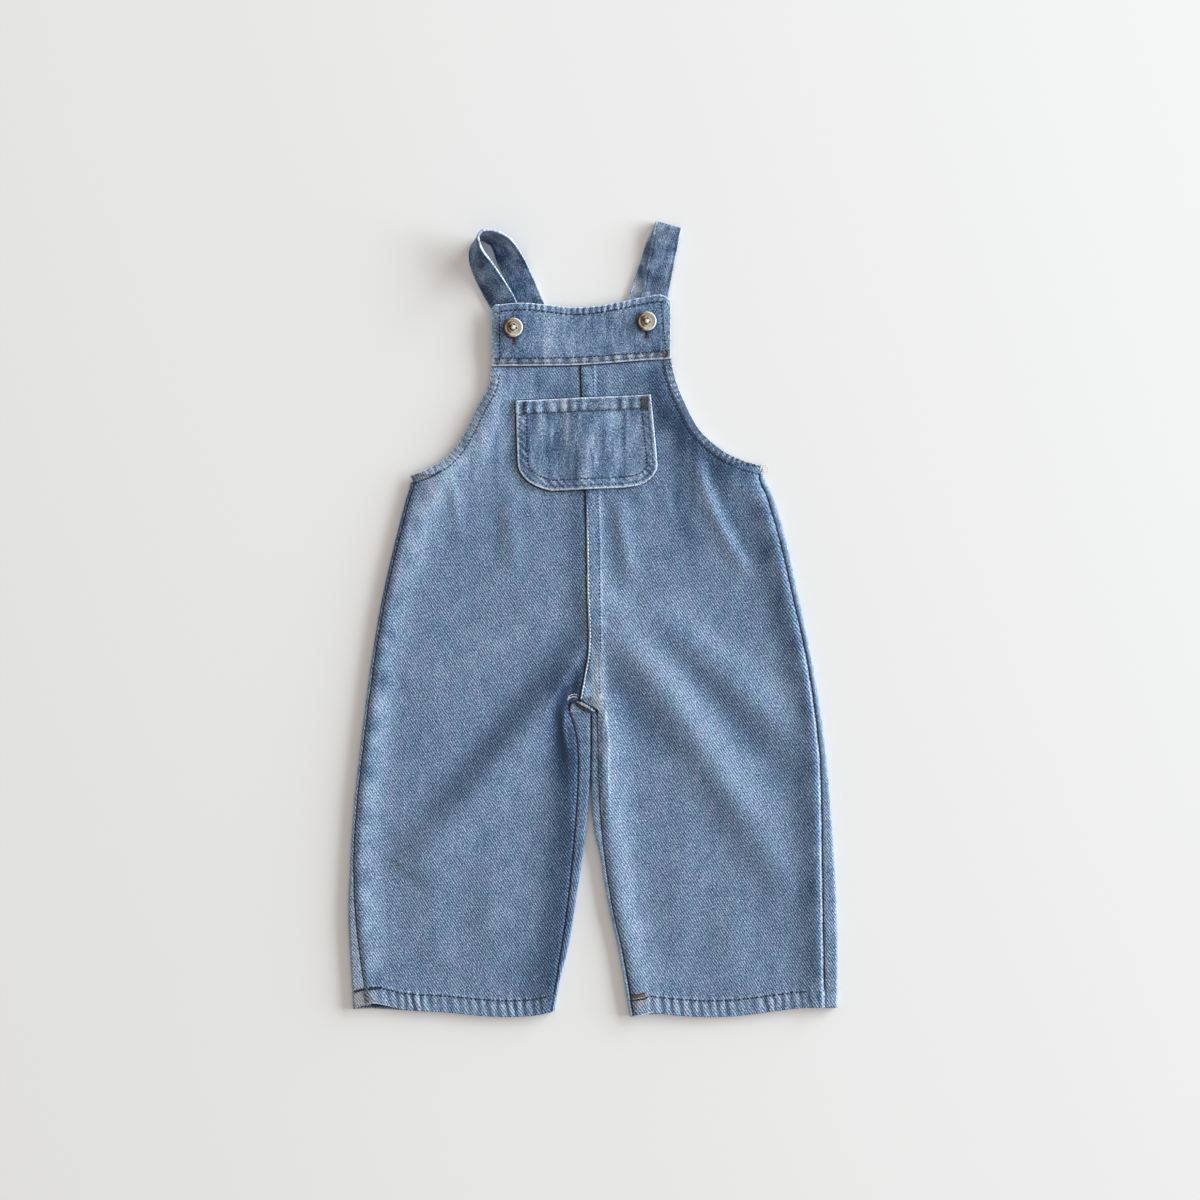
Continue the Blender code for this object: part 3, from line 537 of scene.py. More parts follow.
def bodyLevel(half, x, y, seams):
    # The level of a front's middle, without what its stitching draws up.
    armhole, side, inseam, crotch = seams
    level = read(rests, "level", y) + foldsAt(x, y, "height")
    level += layered(x, y, body["uneven"])
    rim = rims["centre"]
    level += rim["height"] * bump(fromCentre(half, x, y), rim["fall"]) * softStep((y - body["crotch"]) / 12)
    rim = rims["armhole"]
    raised = bump(np.maximum(armhole[0] - rim["flat"], 0), rim["fall"])
    level += rim["height"] * raised * softStep((y - 60) / 50)
    inLeg = np.where(y < body["legTop"] + 12, 1, bump(inseam[0], 14))
    for (away, edge, _), name, share in ((side, "side", 1), (inseam, f"inseam {half}", inLeg)):
        top, flat, fall = read(rims[name], "top flat fall", y)
        level = level + (edge + top - level) * bump(np.maximum(away - flat, 0), fall) * share
        level = level + (edge - level) * bump(away, 2.2)
    for (away, edge, _), reach in ((crotch, 5), (armhole, rim["edge"])):
        level = level + (edge - level) * bump(away, reach)
    bottom, low = read(band["rows"], "bottom low", x)
    return level + (low - level) * bump(np.maximum(bottom - y, 0), body["bandReach"])


def frontSurface(half, x, y):
    f, own, felled = frontPanel, frontPanel[half], half == "right"
    seams = seamsNear(half, x, y)
    (armhole, _, alongArmhole), (side, _, alongSide), (inseam, _, _), (crotch, _, _) = seams
    level = bodyLevel(half, x, y, seams)
    centre = fromCentre(half, x, y)
    above = y > body["legTop"]
    belowBand = bandBottom(x) - y
    fromHem = only(~above, y - hemAt(half, x))
    toFell = read(fell, "x", y) - x
    inHem = within(body["hemWidth"] - fromHem)
    inArmhole = within(body["armholeHem"] - armhole) * (y > armholes[half]["y"][-1])
    fellEnds = softStep((y - body["fellFoot"]) / 60) * felled
    inFell = within(toFell) * fellEnds
    extra = np.maximum.reduce([
        body["hemRaise"] * inHem, body["armholeRaise"] * inArmhole, body["fellRaise"] * inFell,
    ])

    # Ripples that the stitching draws up, flatter beside the bar tack
    height, pitch, shade, seed = *columns(f, "height pitch shade"), own["seed"]
    hemRope = rope(x + 0.12 * fromHem + 0.8 * patches(x, y, 5, 49), pitch["hem"], seed["hem"])
    hemRope = hemRope * (1 + 0.55 * patches(x, 0, 24, 50))
    hemRope = hemRope * (1 - 0.8 * bump(x - own["tack"], f["tackReach"]))
    pull = bump(np.maximum(fromHem - body["hemWidth"], 0), f["pullReach"])
    fromCorner = alongArmhole - lengthAlong(lines[half]["armhole"][:, :2])[-1]
    nearCorner = 0.4 + 0.8 * bump(fromCorner, f["cornerReach"])
    armholeRope = rope(alongArmhole, pitch["armhole"], seed["armhole"]) * nearCorner * own["pucker"]
    sideRope, fellRope = rope(alongSide, pitch["side"], seed["side"]), rope(y, pitch["fell"], 41)
    pocketAway = pocketDistance(x, y)
    pocketRope = rope(x, pitch["pocket"], 43) * bump(np.maximum(pocketAway, 0), 6)
    pocketRope = pocketRope * (y < body["pocketFoot"])
    level += height["hem"] * hemRope * np.where(fromHem < f["hemReach"], pull * (0.25 + 0.75 * inHem), 0)
    level += height["armhole"] * armholeRope * inArmhole + height["side"] * sideRope * bump(side, 10)
    level += height["fell"] * fellRope * inFell + height["pocket"] * pocketRope

    # The seams lie in a small valley
    toSeam = np.minimum(side, np.where(above, far if felled else np.abs(centre), inseam))
    level -= body["valley"] * bump(toSeam, body["valleyWidth"])
    level = np.maximum(level, body["lowest"])

    # How light or dark the cloth is painted: its wash, with the painted shade and highlight of the folds and
    # marks
    fade = foldsAt(x, y, "fade") + marksAt(x, y, "fade") + layered(x, y, f["wash"])
    fade += 0.5 * patches(x, y * 0.3, 4.5, 47) * softStep((y - 60) / 60)
    hemShade = hemRope * (0.45 + 0.75 * bump(fromHem - 8.5, 4.5)) * inHem + 0.3 * hemRope * pull
    fade += np.where(fromHem < f["hemReach"], shade["hem"] * hemShade, 0) + f["hemFaded"] * inHem
    # The armhole hems' roping, with painted shade on the right hem and painted light on the left
    fade += (shade["armhole"] * armholeRope + own["armholeLightAndShade"]) * inArmhole
    fade += (shade["side"] * sideRope - 0.1) * bump(side - 5, 7)
    streaky = patches(x, y * 0.14, 1.5, 45) * (0.35 + 0.6 * softStep((-10 - y) / 30))
    fade += (shade["fell"] * fellRope + 0.05 + streaky) * inFell
    fade += 0.5 * bump(toFell + 1.1, 2.1) * fellEnds
    # Painted shade on the cloth just under the band
    fade += shade["pocket"] * pocketRope + f["underBandShade"] * bump(np.maximum(belowBand, 0), 2.2)
    grey = marksAt(x, y, "grey") + 0.45 * inArmhole * felled

    inCorner = (x < own["corner"]) & (fromHem < 12)
    worn = np.minimum.reduce([
        armhole + f["armholeWorn"],
        only(felled & above, np.abs(centre) + 1.4 * softStep((y - 60) / 36) + f["centreWorn"]),
        only(inCorner, fromHem + f["hemWorn"]), only(inCorner & (not felled), side + f["hemWorn"]),
        only(felled & (y < -20), np.abs(side - 1.7) + 0.7),
    ])
    knob = (x < -112) & (y > 95) & (armhole < 9)
    # Painted shade: in the seams' gaps, a line round the pocket wider along its left half, a line under the
    # band, at the crotch's edge, beside the centre seam and round the left armhole's corner knot
    dark = np.minimum.reduce([
        toSeam, np.abs(pocketAway - 0.4) + 0.25 - 0.4 * (x < -4) * (y < 164),
        np.maximum(belowBand - 0.5, -2), only(above & (crotch < 3), crotch),
        only(above & (not felled), np.abs(centre) - 0.6),
        only(knob, np.abs(armhole - body["armholeHem"]) + 0.2),
    ])
    sewn = [armhole - body["armholeHem"], fromHem - body["hemStitch"]]
    if felled:
        sewn += [only(above, toFell - 0.5), only(above, centre - 1.3)]
    return {"level": level, "extra": extra, "fade": fade, "grey": grey, "trim": trimOf(worn, dark, *sewn)}


def frontGrid(half):
    # Rows across a front, from the armhole and side seam to the centre and inseam.
    f, gap = frontPanel, signs[half] * cloth["gap"] / 2
    top, foot, fork, cornerY = body["bibTop"], body["bibFoot"], body["crotch"], armholes[half]["y"][-1]
    share = np.linspace(0, 1, f["bibRows"])[:-1]
    innerY = top + (foot - top) * share
    ends = [(*along(armholes[half], "x y", share), centreAt(innerY) + gap, innerY)]
    share = np.linspace(0, 1, f["hipRows"])[:-1]
    innerY, y = foot + (fork - foot) * share, cornerY + (fork - cornerY) * share
    ends.append((sideSeam(half, y) - gap, y, centreAt(innerY) + gap, innerY))
    y = np.linspace(fork, body["legTop"], f["crotchRows"])[:-1]
    ends.append((sideSeam(half, y) - gap, y, np.interp(y, crotches[half]["y"], crotches[half]["x"]), y))
    aboveHem = body["hem"] + f["hemSteps"][0]
    y = np.linspace(body["legTop"], aboveHem, int((body["legTop"] - aboveHem) / f["legSpacing"]))[:-1]
    y = np.concatenate([y, body["hem"] + np.array(f["hemSteps"])])
    ends.append((sideSeam(half, y) - gap, y, read(inseams[half], "seam", y) + gap, y))
    outerX, outerY, innerX, innerY = np.concatenate([spots(*part) for part in ends]).T[..., None]
    span = np.hypot(innerX - outerX, innerY - outerY)
    first, last = np.array(f["outerSteps"]), np.array(f["innerSteps"])[::-1]
    middle = first[-1] + (span - first[-1] - last[0]) * np.linspace(0, 1, f["middleColumns"] + 2)[1:-1]
    place = np.concatenate([first + 0 * span, middle, span - last], axis=1) / span
    x, y = outerX + (innerX - outerX) * place, outerY + (innerY - outerY) * place
    y = np.where(y < body["legTop"], y + hemShift(half, x, y), y)
    return (x, y) if half == "left" else (x[:, ::-1], y[:, ::-1])


# Objects


def placed(name, data):
    piece = bpy.data.objects.new(name, data)
    bpy.context.scene.collection.objects.link(piece)
    return piece


def joined(name, points, faces, material, fields):
    mesh = bpy.data.meshes.new(name)
    mesh.from_pydata((np.asarray(points) * mm).tolist(), [], faces)
    mesh.shade_smooth()
    mesh.materials.append(material)
    for field, values in fields.items():
        values = np.asarray(values, np.float32)
        kind, part = ("FLOAT_VECTOR", "vector") if values.ndim == 2 else ("FLOAT", "value")
        mesh.attributes.new(field, kind, "POINT").data.foreach_set(part, values.ravel())
    return placed(name, mesh)


def dress(piece, node=None):
    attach(piece, "root")
    if node:
        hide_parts(node)
    return piece


def clothPiece(name, node, found, thickness, offset, material, starts=None, even=False):
    # An open surface through rows of points, given its thickness. A row begins at its start column,
    # and the extra of what was found says how much thicker the cloth is at each point.
    points = found["points"]
    starts = starts or [0] * len(points)
    counts = [len(row) for row in points]
    firsts = np.cumsum([0] + counts)
    faces = []
    for r in range(len(points) - 1):
        low = max(starts[r], starts[r + 1])
        high = min(starts[r] + counts[r], starts[r + 1] + counts[r + 1]) - 1
        c = np.arange(low, high)
        a, b = firsts[r] + c - starts[r], firsts[r + 1] + c - starts[r + 1]
        faces += spots(a, b, b + 1, a + 1).tolist()
    extra = np.concatenate(found["extra"]) if "extra" in found else np.zeros(firsts[-1])
    fields = {key: np.concatenate(found[key]) for key in ("fade", "grey", "trim", "weave")}
    piece = joined(name, np.concatenate(points), faces, materials[material], fields)
    most = max(float(extra.max()), 0.001)
    group = piece.vertex_groups.new(name="extra")
    for i, value in enumerate(extra / most):
        group.add([i], float(value), "REPLACE")
    solidify = piece.modifiers.new("cloth", "SOLIDIFY")
    solidify.thickness = (thickness + most) * mm
    solidify.offset = offset
    solidify.use_even_offset = even
    solidify.vertex_group = "extra"
    solidify.thickness_vertex_group = thickness / (thickness + most)
    return dress(piece, node)


# Stitches

thread = {
    "pitch": 2.9, "length": 1.9, "width": 0.95, "barWidth": 0.6, "barRise": 0.12,
    # How much a stitch and a thread of a bar tack stray in place, turn and tone
    "stray": (0.06, 0.05, 0.12), "barStray": (0.08, 0.12, 0.18),
    "navy": (0.010, 0.013, 0.036), "dark": (0.016, 0.012, 0.018), "steel": (0.06, 0.09, 0.15),
    "tan": (0.20, 0.14, 0.10), "gold": (0.17, 0.105, 0.040), "brass": (0.13, 0.10, 0.07),
    "rust": (0.12, 0.040, 0.040), "brown": (0.050, 0.030, 0.022), "pink": (0.72, 0.55, 0.50),
    "white": (0.75, 0.73, 0.68), "pale": (0.62, 0.67, 0.73), "faded": (0.40, 0.47, 0.56),
}


def threadForm():
    # One stitch along x: rings of six points that sink into the cloth at its two ends.
    rings = ((-1, 0.25, -0.5), (-0.75, 0.8, 0), (0, 1, 0.35), (0.75, 0.8, 0), (1, 0.25, -0.5))
    points, faces = [], [tuple(range(5, -1, -1)), tuple(range(24, 30))]
    for at, wide, up in rings:
        for angle in np.arange(6) * math.pi / 3:
            points.append((at / 2, wide * math.cos(angle) / 2, up * 0.5 + wide * math.sin(angle) / 2))
    sides = []
    for a in range(24):
        b = a + 1 if a % 6 < 5 else a - 5
        sides.append((a, b, b + 6, a + 6))
    return np.array(points), sides + faces


def spaced(line, pitch):
    # Points at an even pitch along a line of x, y, and its direction at each.
    line = np.asarray(line, float)[:, :2]
    length = lengthAlong(line)
    count = max(2, int(round(length[-1] / pitch)))
    at = (np.arange(count) + 0.5) * length[-1] / count
    here, ahead, behind = (
        spots(*(np.interp(at + shift, length, part) for part in line.T)) for shift in (0, 0.4, -0.4)
    )
    run = ahead - behind
    return here, np.arctan2(run[:, 1], run[:, 0])


class Sewing:
    # The stitches on one piece, collected and made as one object.
    def __init__(self, name, seed, top=None):
        self.name, self.random, self.top = name, np.random.default_rng(seed), top
        self.places = []

    def run(self, line, colour, pitch, length=None, width=None, top=None):
        at, turn = spaced(line, pitch)
        place, angle, tone = thread["stray"]
        turn = turn + self.random.normal(0, angle, len(turn))
        at = at + self.random.normal(0, place, at.shape)
        z = (top or self.top)(*at.T)
        tint = np.asarray(thread[colour]) * (1 + self.random.normal(0, tone, (len(at), 1)))
        size = (length or thread["length"] * pitch / thread["pitch"], width or thread["width"])
        for (x, y), height, angle, shade in zip(at, z, turn, tint):
            self.places.append((x, y, height, angle, *size, *shade))

    def bar(self, centre, turn, length, width, colour, count, top=None):
        # A bar tack: close threads side by side across its length.
        turn = math.radians(turn)
        stray, angleStray, tone = thread["barStray"]
        for share in np.linspace(-0.5, 0.5, count):
            x = centre[0] + share * length * math.cos(turn) + self.random.normal(0, stray)
            y = centre[1] + share * length * math.sin(turn) + self.random.normal(0, stray)
            z = float((top or self.top)(np.array([x]), np.array([y]))[0]) + thread["barRise"]
            angle = turn + math.pi / 2 + self.random.normal(0, angleStray)
            shade = np.asarray(thread[colour]) * (1 + self.random.normal(0, tone))
            self.places.append((x, y, z, angle, width, thread["barWidth"], *shade))

    def make(self):
        form, faces = threadForm()
        rows = np.array(self.places)
        x, y, z, turn, length, width = rows.T[:6, :, None]
        fx, fy = form[:, 0] * length, form[:, 1] * width
        points = spots(
            x + fx * np.cos(turn) - fy * np.sin(turn), y + fx * np.sin(turn) + fy * np.cos(turn),
            z + form[:, 2] * width * 0.8,
        ).reshape(-1, 3)
        many = [tuple(i + n * len(form) for i in face) for n in range(len(rows)) for face in faces]
        dye = np.repeat(np.clip(rows[:, 6:9], 0, 1), len(form), axis=0)
        return dress(joined(self.name, points, many, materials["thread"], {"dye": dye}))


# Shaders

def operator(operation):
    # What a Python operator does with a wire, and its reflected form.
    def plain(self, other):
        return self.maths(operation, self, other)

    def reflected(self, other):
        return self.maths(operation, other, self)

    return plain, reflected


class Wire:
    # A number in a shader. Sums on it add Math nodes.
    __add__, __radd__ = operator("ADD")
    __sub__, __rsub__ = operator("SUBTRACT")
    __mul__, __rmul__ = operator("MULTIPLY")
    __truediv__, __rtruediv__ = operator("DIVIDE")

    def __init__(self, bench, socket):
        self.bench, self.socket = bench, socket

    def maths(self, operation, *values):
        sockets = dict(enumerate(values or [self]))
        return self.bench.node("ShaderNodeMath", {"operation": operation}, sockets)


class Bench:
    # A material and the nodes added to it.
    def __init__(self, name, roughness, **settings):
        self.material = bpy.data.materials.new(name)
        self.material.use_nodes = True
        self.tree = self.material.node_tree
        self.shader = self.tree.nodes["Principled BSDF"]
        self.shader.inputs["Roughness"].default_value = roughness
        for key, value in settings.items():
            self.shader.inputs[key.replace("_", " ")].default_value = value

    def node(self, kind, settings, sockets, out=0):
        node = self.tree.nodes.new(kind)
        for key, value in settings.items():
            if key == "stops":
                ramp = node.color_ramp
                while len(ramp.elements) < len(value):
                    ramp.elements.new(0.5)
                for element, (position, colour) in zip(ramp.elements, value):
                    element.position, element.color = position, (*colour, 1)
            else:
                setattr(node, key, value)
        for key, value in sockets.items():
            if isinstance(value, Wire):
                self.tree.links.new(value.socket, node.inputs[key])
            else:
                node.inputs[key].default_value = value
        return Wire(self, node.outputs[out])

    def field(self, name, out="Fac"):
        return self.node("ShaderNodeAttribute", {"attribute_name": name}, {}, out)

    def noise(self, at, scale, detail=2, rough=0.5):
        scaled = self.node("ShaderNodeVectorMath", {"operation": "MULTIPLY"}, {0: at, 1: scale})
        sockets = {"Vector": scaled, "Scale": 1, "Detail": detail, "Roughness": rough}
        return self.node("ShaderNodeTexNoise", {}, sockets, "Fac")

    def ease(self, value, start, end):
        # From 0 at start to 1 at end, softly.
        settings = {"interpolation_type": "SMOOTHSTEP"}
        return self.node("ShaderNodeMapRange", settings, {"Value": value, "From Min": start, "From Max": end})

    def mix(self, share, a, b, blend="MIX"):
        a, b = ((*colour, 1) if isinstance(colour, tuple) else colour for colour in (a, b))
        settings = {"data_type": "RGBA", "blend_type": blend}
        return self.node("ShaderNodeMix", settings, {0: share, 6: a, 7: b}, 2)

    def parts(self, value):
        split = self.node("ShaderNodeSeparateXYZ", {}, {0: value}).socket.node
        return [Wire(self, output) for output in split.outputs]

    def feed(self, socket, value):
        self.tree.links.new(value.socket, self.shader.inputs[socket])


denim = {
    "darkest": (0.018, 0.040, 0.092), "dark": (0.062, 0.116, 0.210), "middle": (0.135, 0.214, 0.342),
    "light": (0.262, 0.362, 0.520), "palest": (0.520, 0.610, 0.720),
    # The seam colour is painted shade, for the gaps of seams and the shade under edges
    "worn": (0.640, 0.740, 0.870), "seam": (0.010, 0.014, 0.035),
    "teal": (0.955, 1.01, 0.985), "violet": (1.05, 0.99, 1.02),
    "twillX": 2.05, "twillY": 3.1, "twillTone": 0.28, "fleckTone": 0.94, "grainTone": 0.72,
    "slubTone": 0.24, "mottleTone": 0.24, "relief": 0.14, "grooveShade": 0.12,
    # Noise in the cloth: how close it is across and up, its detail and how rough it is
    "sway": ((0.25, 0.25, 0), 2), "slub": ((0.8, 0.09, 0), 3, 0.6), "fleck": ((1.25, 0.9, 0), 0),
    "grain": ((0.55, 0.5, 0), 1, 0.7), "mottle": ((0.13, 0.07, 0), 3, 0.6), "hue": ((0.07, 0.045, 0), 3),
}


def denimMaterial(name, tone, diagonal=1, grain=1, wash=1):
    bench = Bench(name, 0.86, Sheen_Weight=0.12, Sheen_Roughness=0.5, Specular_IOR_Level=0.25)
    weave = bench.field("weave", "Vector")
    fade, grey = bench.field("fade"), bench.field("grey")
    worn, seam, stitch = bench.parts(bench.field("trim", "Vector"))
    across, up, _ = bench.parts(weave)
    sway, hue = (bench.noise(weave, *denim[name]) for name in ("sway", "hue"))
    phase = across / denim["twillX"] + up / denim["twillY"] + 0.7 * sway
    twill = (phase * (2 * math.pi)).maths("SINE") * (1 - 0.42 * bench.ease(up, 10, 120))
    slub, fleck, grainy, mottle = (
        bench.noise(weave, *denim[name]) - 0.5 for name in ("slub", "fleck", "grain", "mottle")
    )
    tones = tone + 0.25 * fade + denim["twillTone"] * diagonal * twill
    tones = tones + (denim["fleckTone"] * grain) * fleck + (denim["grainTone"] * grain) * grainy
    tones = tones + (denim["slubTone"] * wash) * slub + (denim["mottleTone"] * wash) * mottle
    # Painted shade in the groove along each line of stitches; the groove also dents the bump
    groove = 1 - bench.ease(stitch.maths("ABSOLUTE"), 0.1, 1.3)
    tones = tones - denim["grooveShade"] * groove
    stops = list(zip((0, 0.27, 0.5, 0.75, 1), columns(denim, "darkest dark middle light palest")))
    colour = bench.node("ShaderNodeValToRGB", {"stops": stops}, {0: tones})
    tint = bench.mix(bench.ease(hue, 0.35, 0.65), denim["teal"], denim["violet"])
    colour = bench.mix(1, colour, tint, "MULTIPLY")
    greyish = bench.ease(grey + 0.6 * mottle, 0, 1.4)
    dull = {"Saturation": 1 - 0.9 * greyish, "Value": 1 - 0.42 * greyish, "Color": colour}
    colour = bench.node("ShaderNodeHueSaturation", {}, dull)
    edge = (1 - bench.ease(worn, 0.6, 1.4)) * (0.72 + 1.7 * grainy + 1.2 * fleck)
    colour = bench.mix(edge, colour, denim["worn"])
    # Painted shade in the gaps of seams and under edges
    gap = 1 - bench.ease(seam, 0.35, 1.25)
    bench.feed("Base Color", bench.mix(gap * 0.9, colour, denim["seam"]))
    height = (0.5 * diagonal) * twill + 2.2 * fleck + 1 * grainy + 1 * slub - 1.6 * groove
    relief = {"Height": height, "Strength": 0.55, "Distance": denim["relief"] * mm}
    bench.feed("Normal", bench.node("ShaderNodeBump", {}, relief, "Normal"))
    return bench.material


def threadMaterial():
    bench = Bench("sewing_thread", 0.7, Sheen_Weight=0.1, Specular_IOR_Level=0.3)
    bench.feed("Base Color", bench.field("dye", "Vector"))
    return bench.material


horn = {
    "cream": (0.66, 0.65, 0.57), "olive": (0.29, 0.235, 0.12), "brown": (0.060, 0.026, 0.006),
    "rings": 3.8, "radius": 7.15, "cloud": ((300, 300, 0), 3, 0.6),
}


def hornMaterial():
    bench = Bench("button_horn", 0.42, Coat_Weight=0.12, Coat_Roughness=0.2)
    place = bench.node("ShaderNodeTexCoord", {}, {}, "Object")
    x, y = (part * (1 / (horn["radius"] * mm)) for part in bench.parts(place)[:2])
    radius = (x * x + y * y).maths("SQRT")
    cloud = bench.noise(place, *horn["cloud"]) - 0.5
    ring = (radius * (2 * math.pi * horn["rings"]) + 5 * cloud).maths("SINE")
    left = 1.3 * cloud - x - 0.25 * y * y
    colour = bench.mix(bench.ease(left + 0.15 * ring, -0.75, 0.35), horn["cream"], horn["olive"])
    crescent = bench.ease(left + 0.2 * ring, 0.02, 0.38)
    bench.feed("Base Color", bench.mix(crescent, colour, horn["brown"]))
    return bench.material


materials = {
    "body": denimMaterial("washed_denim", tone=0.475),
    "trim": denimMaterial("washed_trim", tone=0.49, diagonal=0.4, grain=1.1, wash=1.8),
    "strap": denimMaterial("strap_denim", tone=0.36, diagonal=0.35, grain=0.85, wash=2.4),
    "thread": threadMaterial(),
    "horn": hornMaterial(),
}

for half in signs:
    x, y = frontGrid(half)
    found = frontSurface(half, x, y)
    found |= {"points": spots(x, y, found["level"] - cloth["denim"] / 2), "weave": spots(x, y, 0)}
    clothPiece(f"front_{half}_cloth", f"front_{half}", found, cloth["denim"], 1, "body")
print("fronts made")

# Backs

backPanel = {
    "bibRows": 40, "hipRows": 90, "legRows": 120, "columns": 14, "rollSteps": 12, "stripSteps": 7,
    "drop": 0.5, "fork": 1.5, "wash": ((0.2, 1, 1, 16, 7), (0.22, 1, 1, 7, 8)),
}


def rolledEdge(rows, y, inward):
    # The outer face of a rolled edge at these levels: x, z and length round, and where it leaves the floor.
    edge, seam, roll = read(rows, "edge seam roll", y)
    radius = roll / 2
    angle = np.linspace(0, math.pi, backPanel["rollSteps"] + 1)[1:]
    start, end = edge + inward * radius, seam - inward * cloth["gap"] / 2
    share = np.linspace(0, 1, backPanel["stripSteps"] + 1)[1:] ** 0.8
    x = np.concatenate([edge + inward * radius * (1 - np.sin(angle)), start + (end - start) * share], axis=1)
    z = np.concatenate([radius * (1 - np.cos(angle)), roll + 0 * share], axis=1)
    length = np.concatenate([radius * angle, math.pi * radius + np.abs(end - start) * share], axis=1)
    return x, z, length, start


def backRows(half):
    b, left, inward = backPanel, half == "left", -signs[half]
    rollCount = b["rollSteps"] + b["stripSteps"]
    zones = {
        "bib": np.linspace(0, 1, b["bibRows"])[:-1],
        "hip": np.linspace(sides[half]["y"][1] - b["drop"], body["legTop"] + b["fork"], b["hipRows"]),
        "leg": np.linspace(body["legTop"], body["hem"], b["legRows"]),
    }
    starts, found = [], {"points": [], "fade": [], "grey": [], "trim": [], "weave": []}
    for zone, keys in zones.items():
        keys = keys[:, None]
        outer, y = along(backArmholes[half], "x y", keys) if zone == "bib" else (keys, keys)
        centre = 0 * keys - inward * cloth["gap"] / 2
        side = inner = [np.zeros((len(keys), 0))] * 3
        strips = []
        if zone != "bib":
            *side, outer = rolledEdge(sides[half], y, inward)
            strips.append((slice(None, rollCount), slice(None, 1)))
        if zone == "leg":
            *inner, centre = rolledEdge(inseams[half], y, -inward)
            strips.append((slice(-rollCount, None), slice(-1, None)))
        flatX = outer + (centre - outer) * np.linspace(0, 1, b["columns"])
        x = np.concatenate([side[0][:, ::-1], flatX, inner[0]], axis=1)
        z = np.concatenate([side[1][:, ::-1], 0 * flatX, inner[1]], axis=1)
        u = np.concatenate([outer - side[2][:, ::-1] * inward, flatX, centre + inner[2] * inward], axis=1)
        levels, y = y, y + 0 * x
        if zone == "leg":
            y = y + np.where(z > 0.5 * z.max(), hemShift(half, x, y), hemShift(half, x, y, "back"))

        # Distances to the seams on top, which lie in a small valley; the trim paints shade in their gaps
        toSeam = np.full(x.shape, far)
        for strip, rim in strips:
            toSeam[:, strip] = np.abs(x[:, strip] - x[:, rim]) + 9 * (z[:, strip] < z[:, rim] * 0.5)
        top = z > 3
        pucker = rope(y, 11, 53)
        z = z + np.where(top, 0.14 * pucker - body["valley"] * bump(toSeam, body["valleyWidth"]), 0)
        # Painted shade on the inner rolls where the two legs meet, fading lower down
        if zone == "leg":
            touching = np.abs(x - read(inseams[half], "edge", levels)) + 0.25
            touching += 0.1 * np.maximum(-125 - y, 0)
            toSeam[:, -rollCount:] = np.minimum(toSeam, touching)[:, -rollCount:]

        inLeg = (zone == "leg") & (np.abs(x) < 60) & top
        hemAway = y - hemAt(half, x) if zone == "leg" else far + 0 * x
        inHem = hemAway < body["hemWidth"]
        upper, lower = softStep((y + 60) / 90), softStep((-130 - y) / 50)
        fade = layered(u, y, b["wash"]) + np.where(top, 0.12 * pucker, 0) + 0.25 * inHem
        # Painted shade on the left leg's inner strip, and painted light low on the right leg's, which lies in
        # shade
        fade += inLeg * ((-0.75 - 0.2 * lower) if left else (0.8 * lower - 0.1))
        grey = 0 * x
        worn = 0 * x + far
        if left:
            # On the left, the roll's face, which lies in shade, is painted lighter; its top is darker up high
            fade += np.where(top, 0.3 - 1.1 * upper + 0.2 * inHem, 0.25)
            fade += 0.4 * softStep((-40 - y) / 60) * top * (x < -60)
            grey += (0.3 + 0.3 * patches(u, y, 22, 9) + 0.6 * inHem * top) * (x < -60)
        else:
            fade += 0.25 + 0.35 * rope(y + 1.2 * toSeam, 4.4, 57) * top
            if zone != "bib":
                rim = np.abs(x - read(sides[half], "edge", levels)) + 0.5
                worn = only((z > 0.72 * z.max()) & (x > 60), rim)
        # Painted shade on the back where it shows below the front's hem
        if zone == "leg":
            showing = (z < 2) & (y < hemAt(half, x) + 1)
            toSeam = np.where(showing, 0.3 + np.maximum(1 - y + hemAt(half, x, "back"), 0), toSeam)
        trim = trimOf(worn, toSeam, hemAway - body["hemStitch"])
        whole = zone == "leg" or (left and zone == "hip")
        starts += [0 if whole else rollCount] * len(keys)
        for key, grid in zip(found, (spots(x, y, z), fade, grey, trim, spots(-u, y, 0))):
            found[key] += list(grid if left else grid[:, ::-1])
    return found, starts


for half in signs:
    found, starts = backRows(half)
    clothPiece(f"back_{half}_cloth", f"back_{half}", found, cloth["denim"], 1, "body", starts, even=True)
print("backs made")

# Crotch: the back's inseam turns up into it on the left, and its seam bulges out of it

crotch = {
    "turn": table(
        "y seam edge roll", (-60.4, -14.6, -5.6, 3.4), (-65, -16.6, -2.4, 4.6), (-69.4, -17, -0.8, 5),
    ),
    "lump": table(
        "x y width level",
        (-11.8, -61.4, 3.2, 4.6), (-9.2, -63, 5.4, 5.6), (-5.6, -65.1, 6.2, 6),
        (-1.6, -67.2, 5.4, 5.7), (2.2, -69, 3.2, 4.6),
    ),
    "arch": 1.5, "thickness": 1,
    "threads": np.array([(-18.2, -58.6), (-16.4, -56.8), (-14, -55.9), (-11.2, -56.3)]),
}


def crotchTurn():
    y = np.linspace(*crotch["turn"]["y"][[0, -1]], 16)[:, None]
    x, z, length, start = rolledEdge(crotch["turn"], y, -1)
    # Painted shade at its top end, where it turns up into the crotch, and along its seam
    found = {
        "points": spots(x, y, z), "weave": spots(-start - length, y, 0),
        "fade": 0.35 + 0 * x - 0.5 * bump(y - y[0], 3), "grey": 0.2 + 0 * x,
        "trim": trimOf(far, np.abs(x - x[:, -1:]) + 0.4, 9),
    }
    return clothPiece("crotch_turn", None, found, cloth["denim"], 1, "body", even=True)


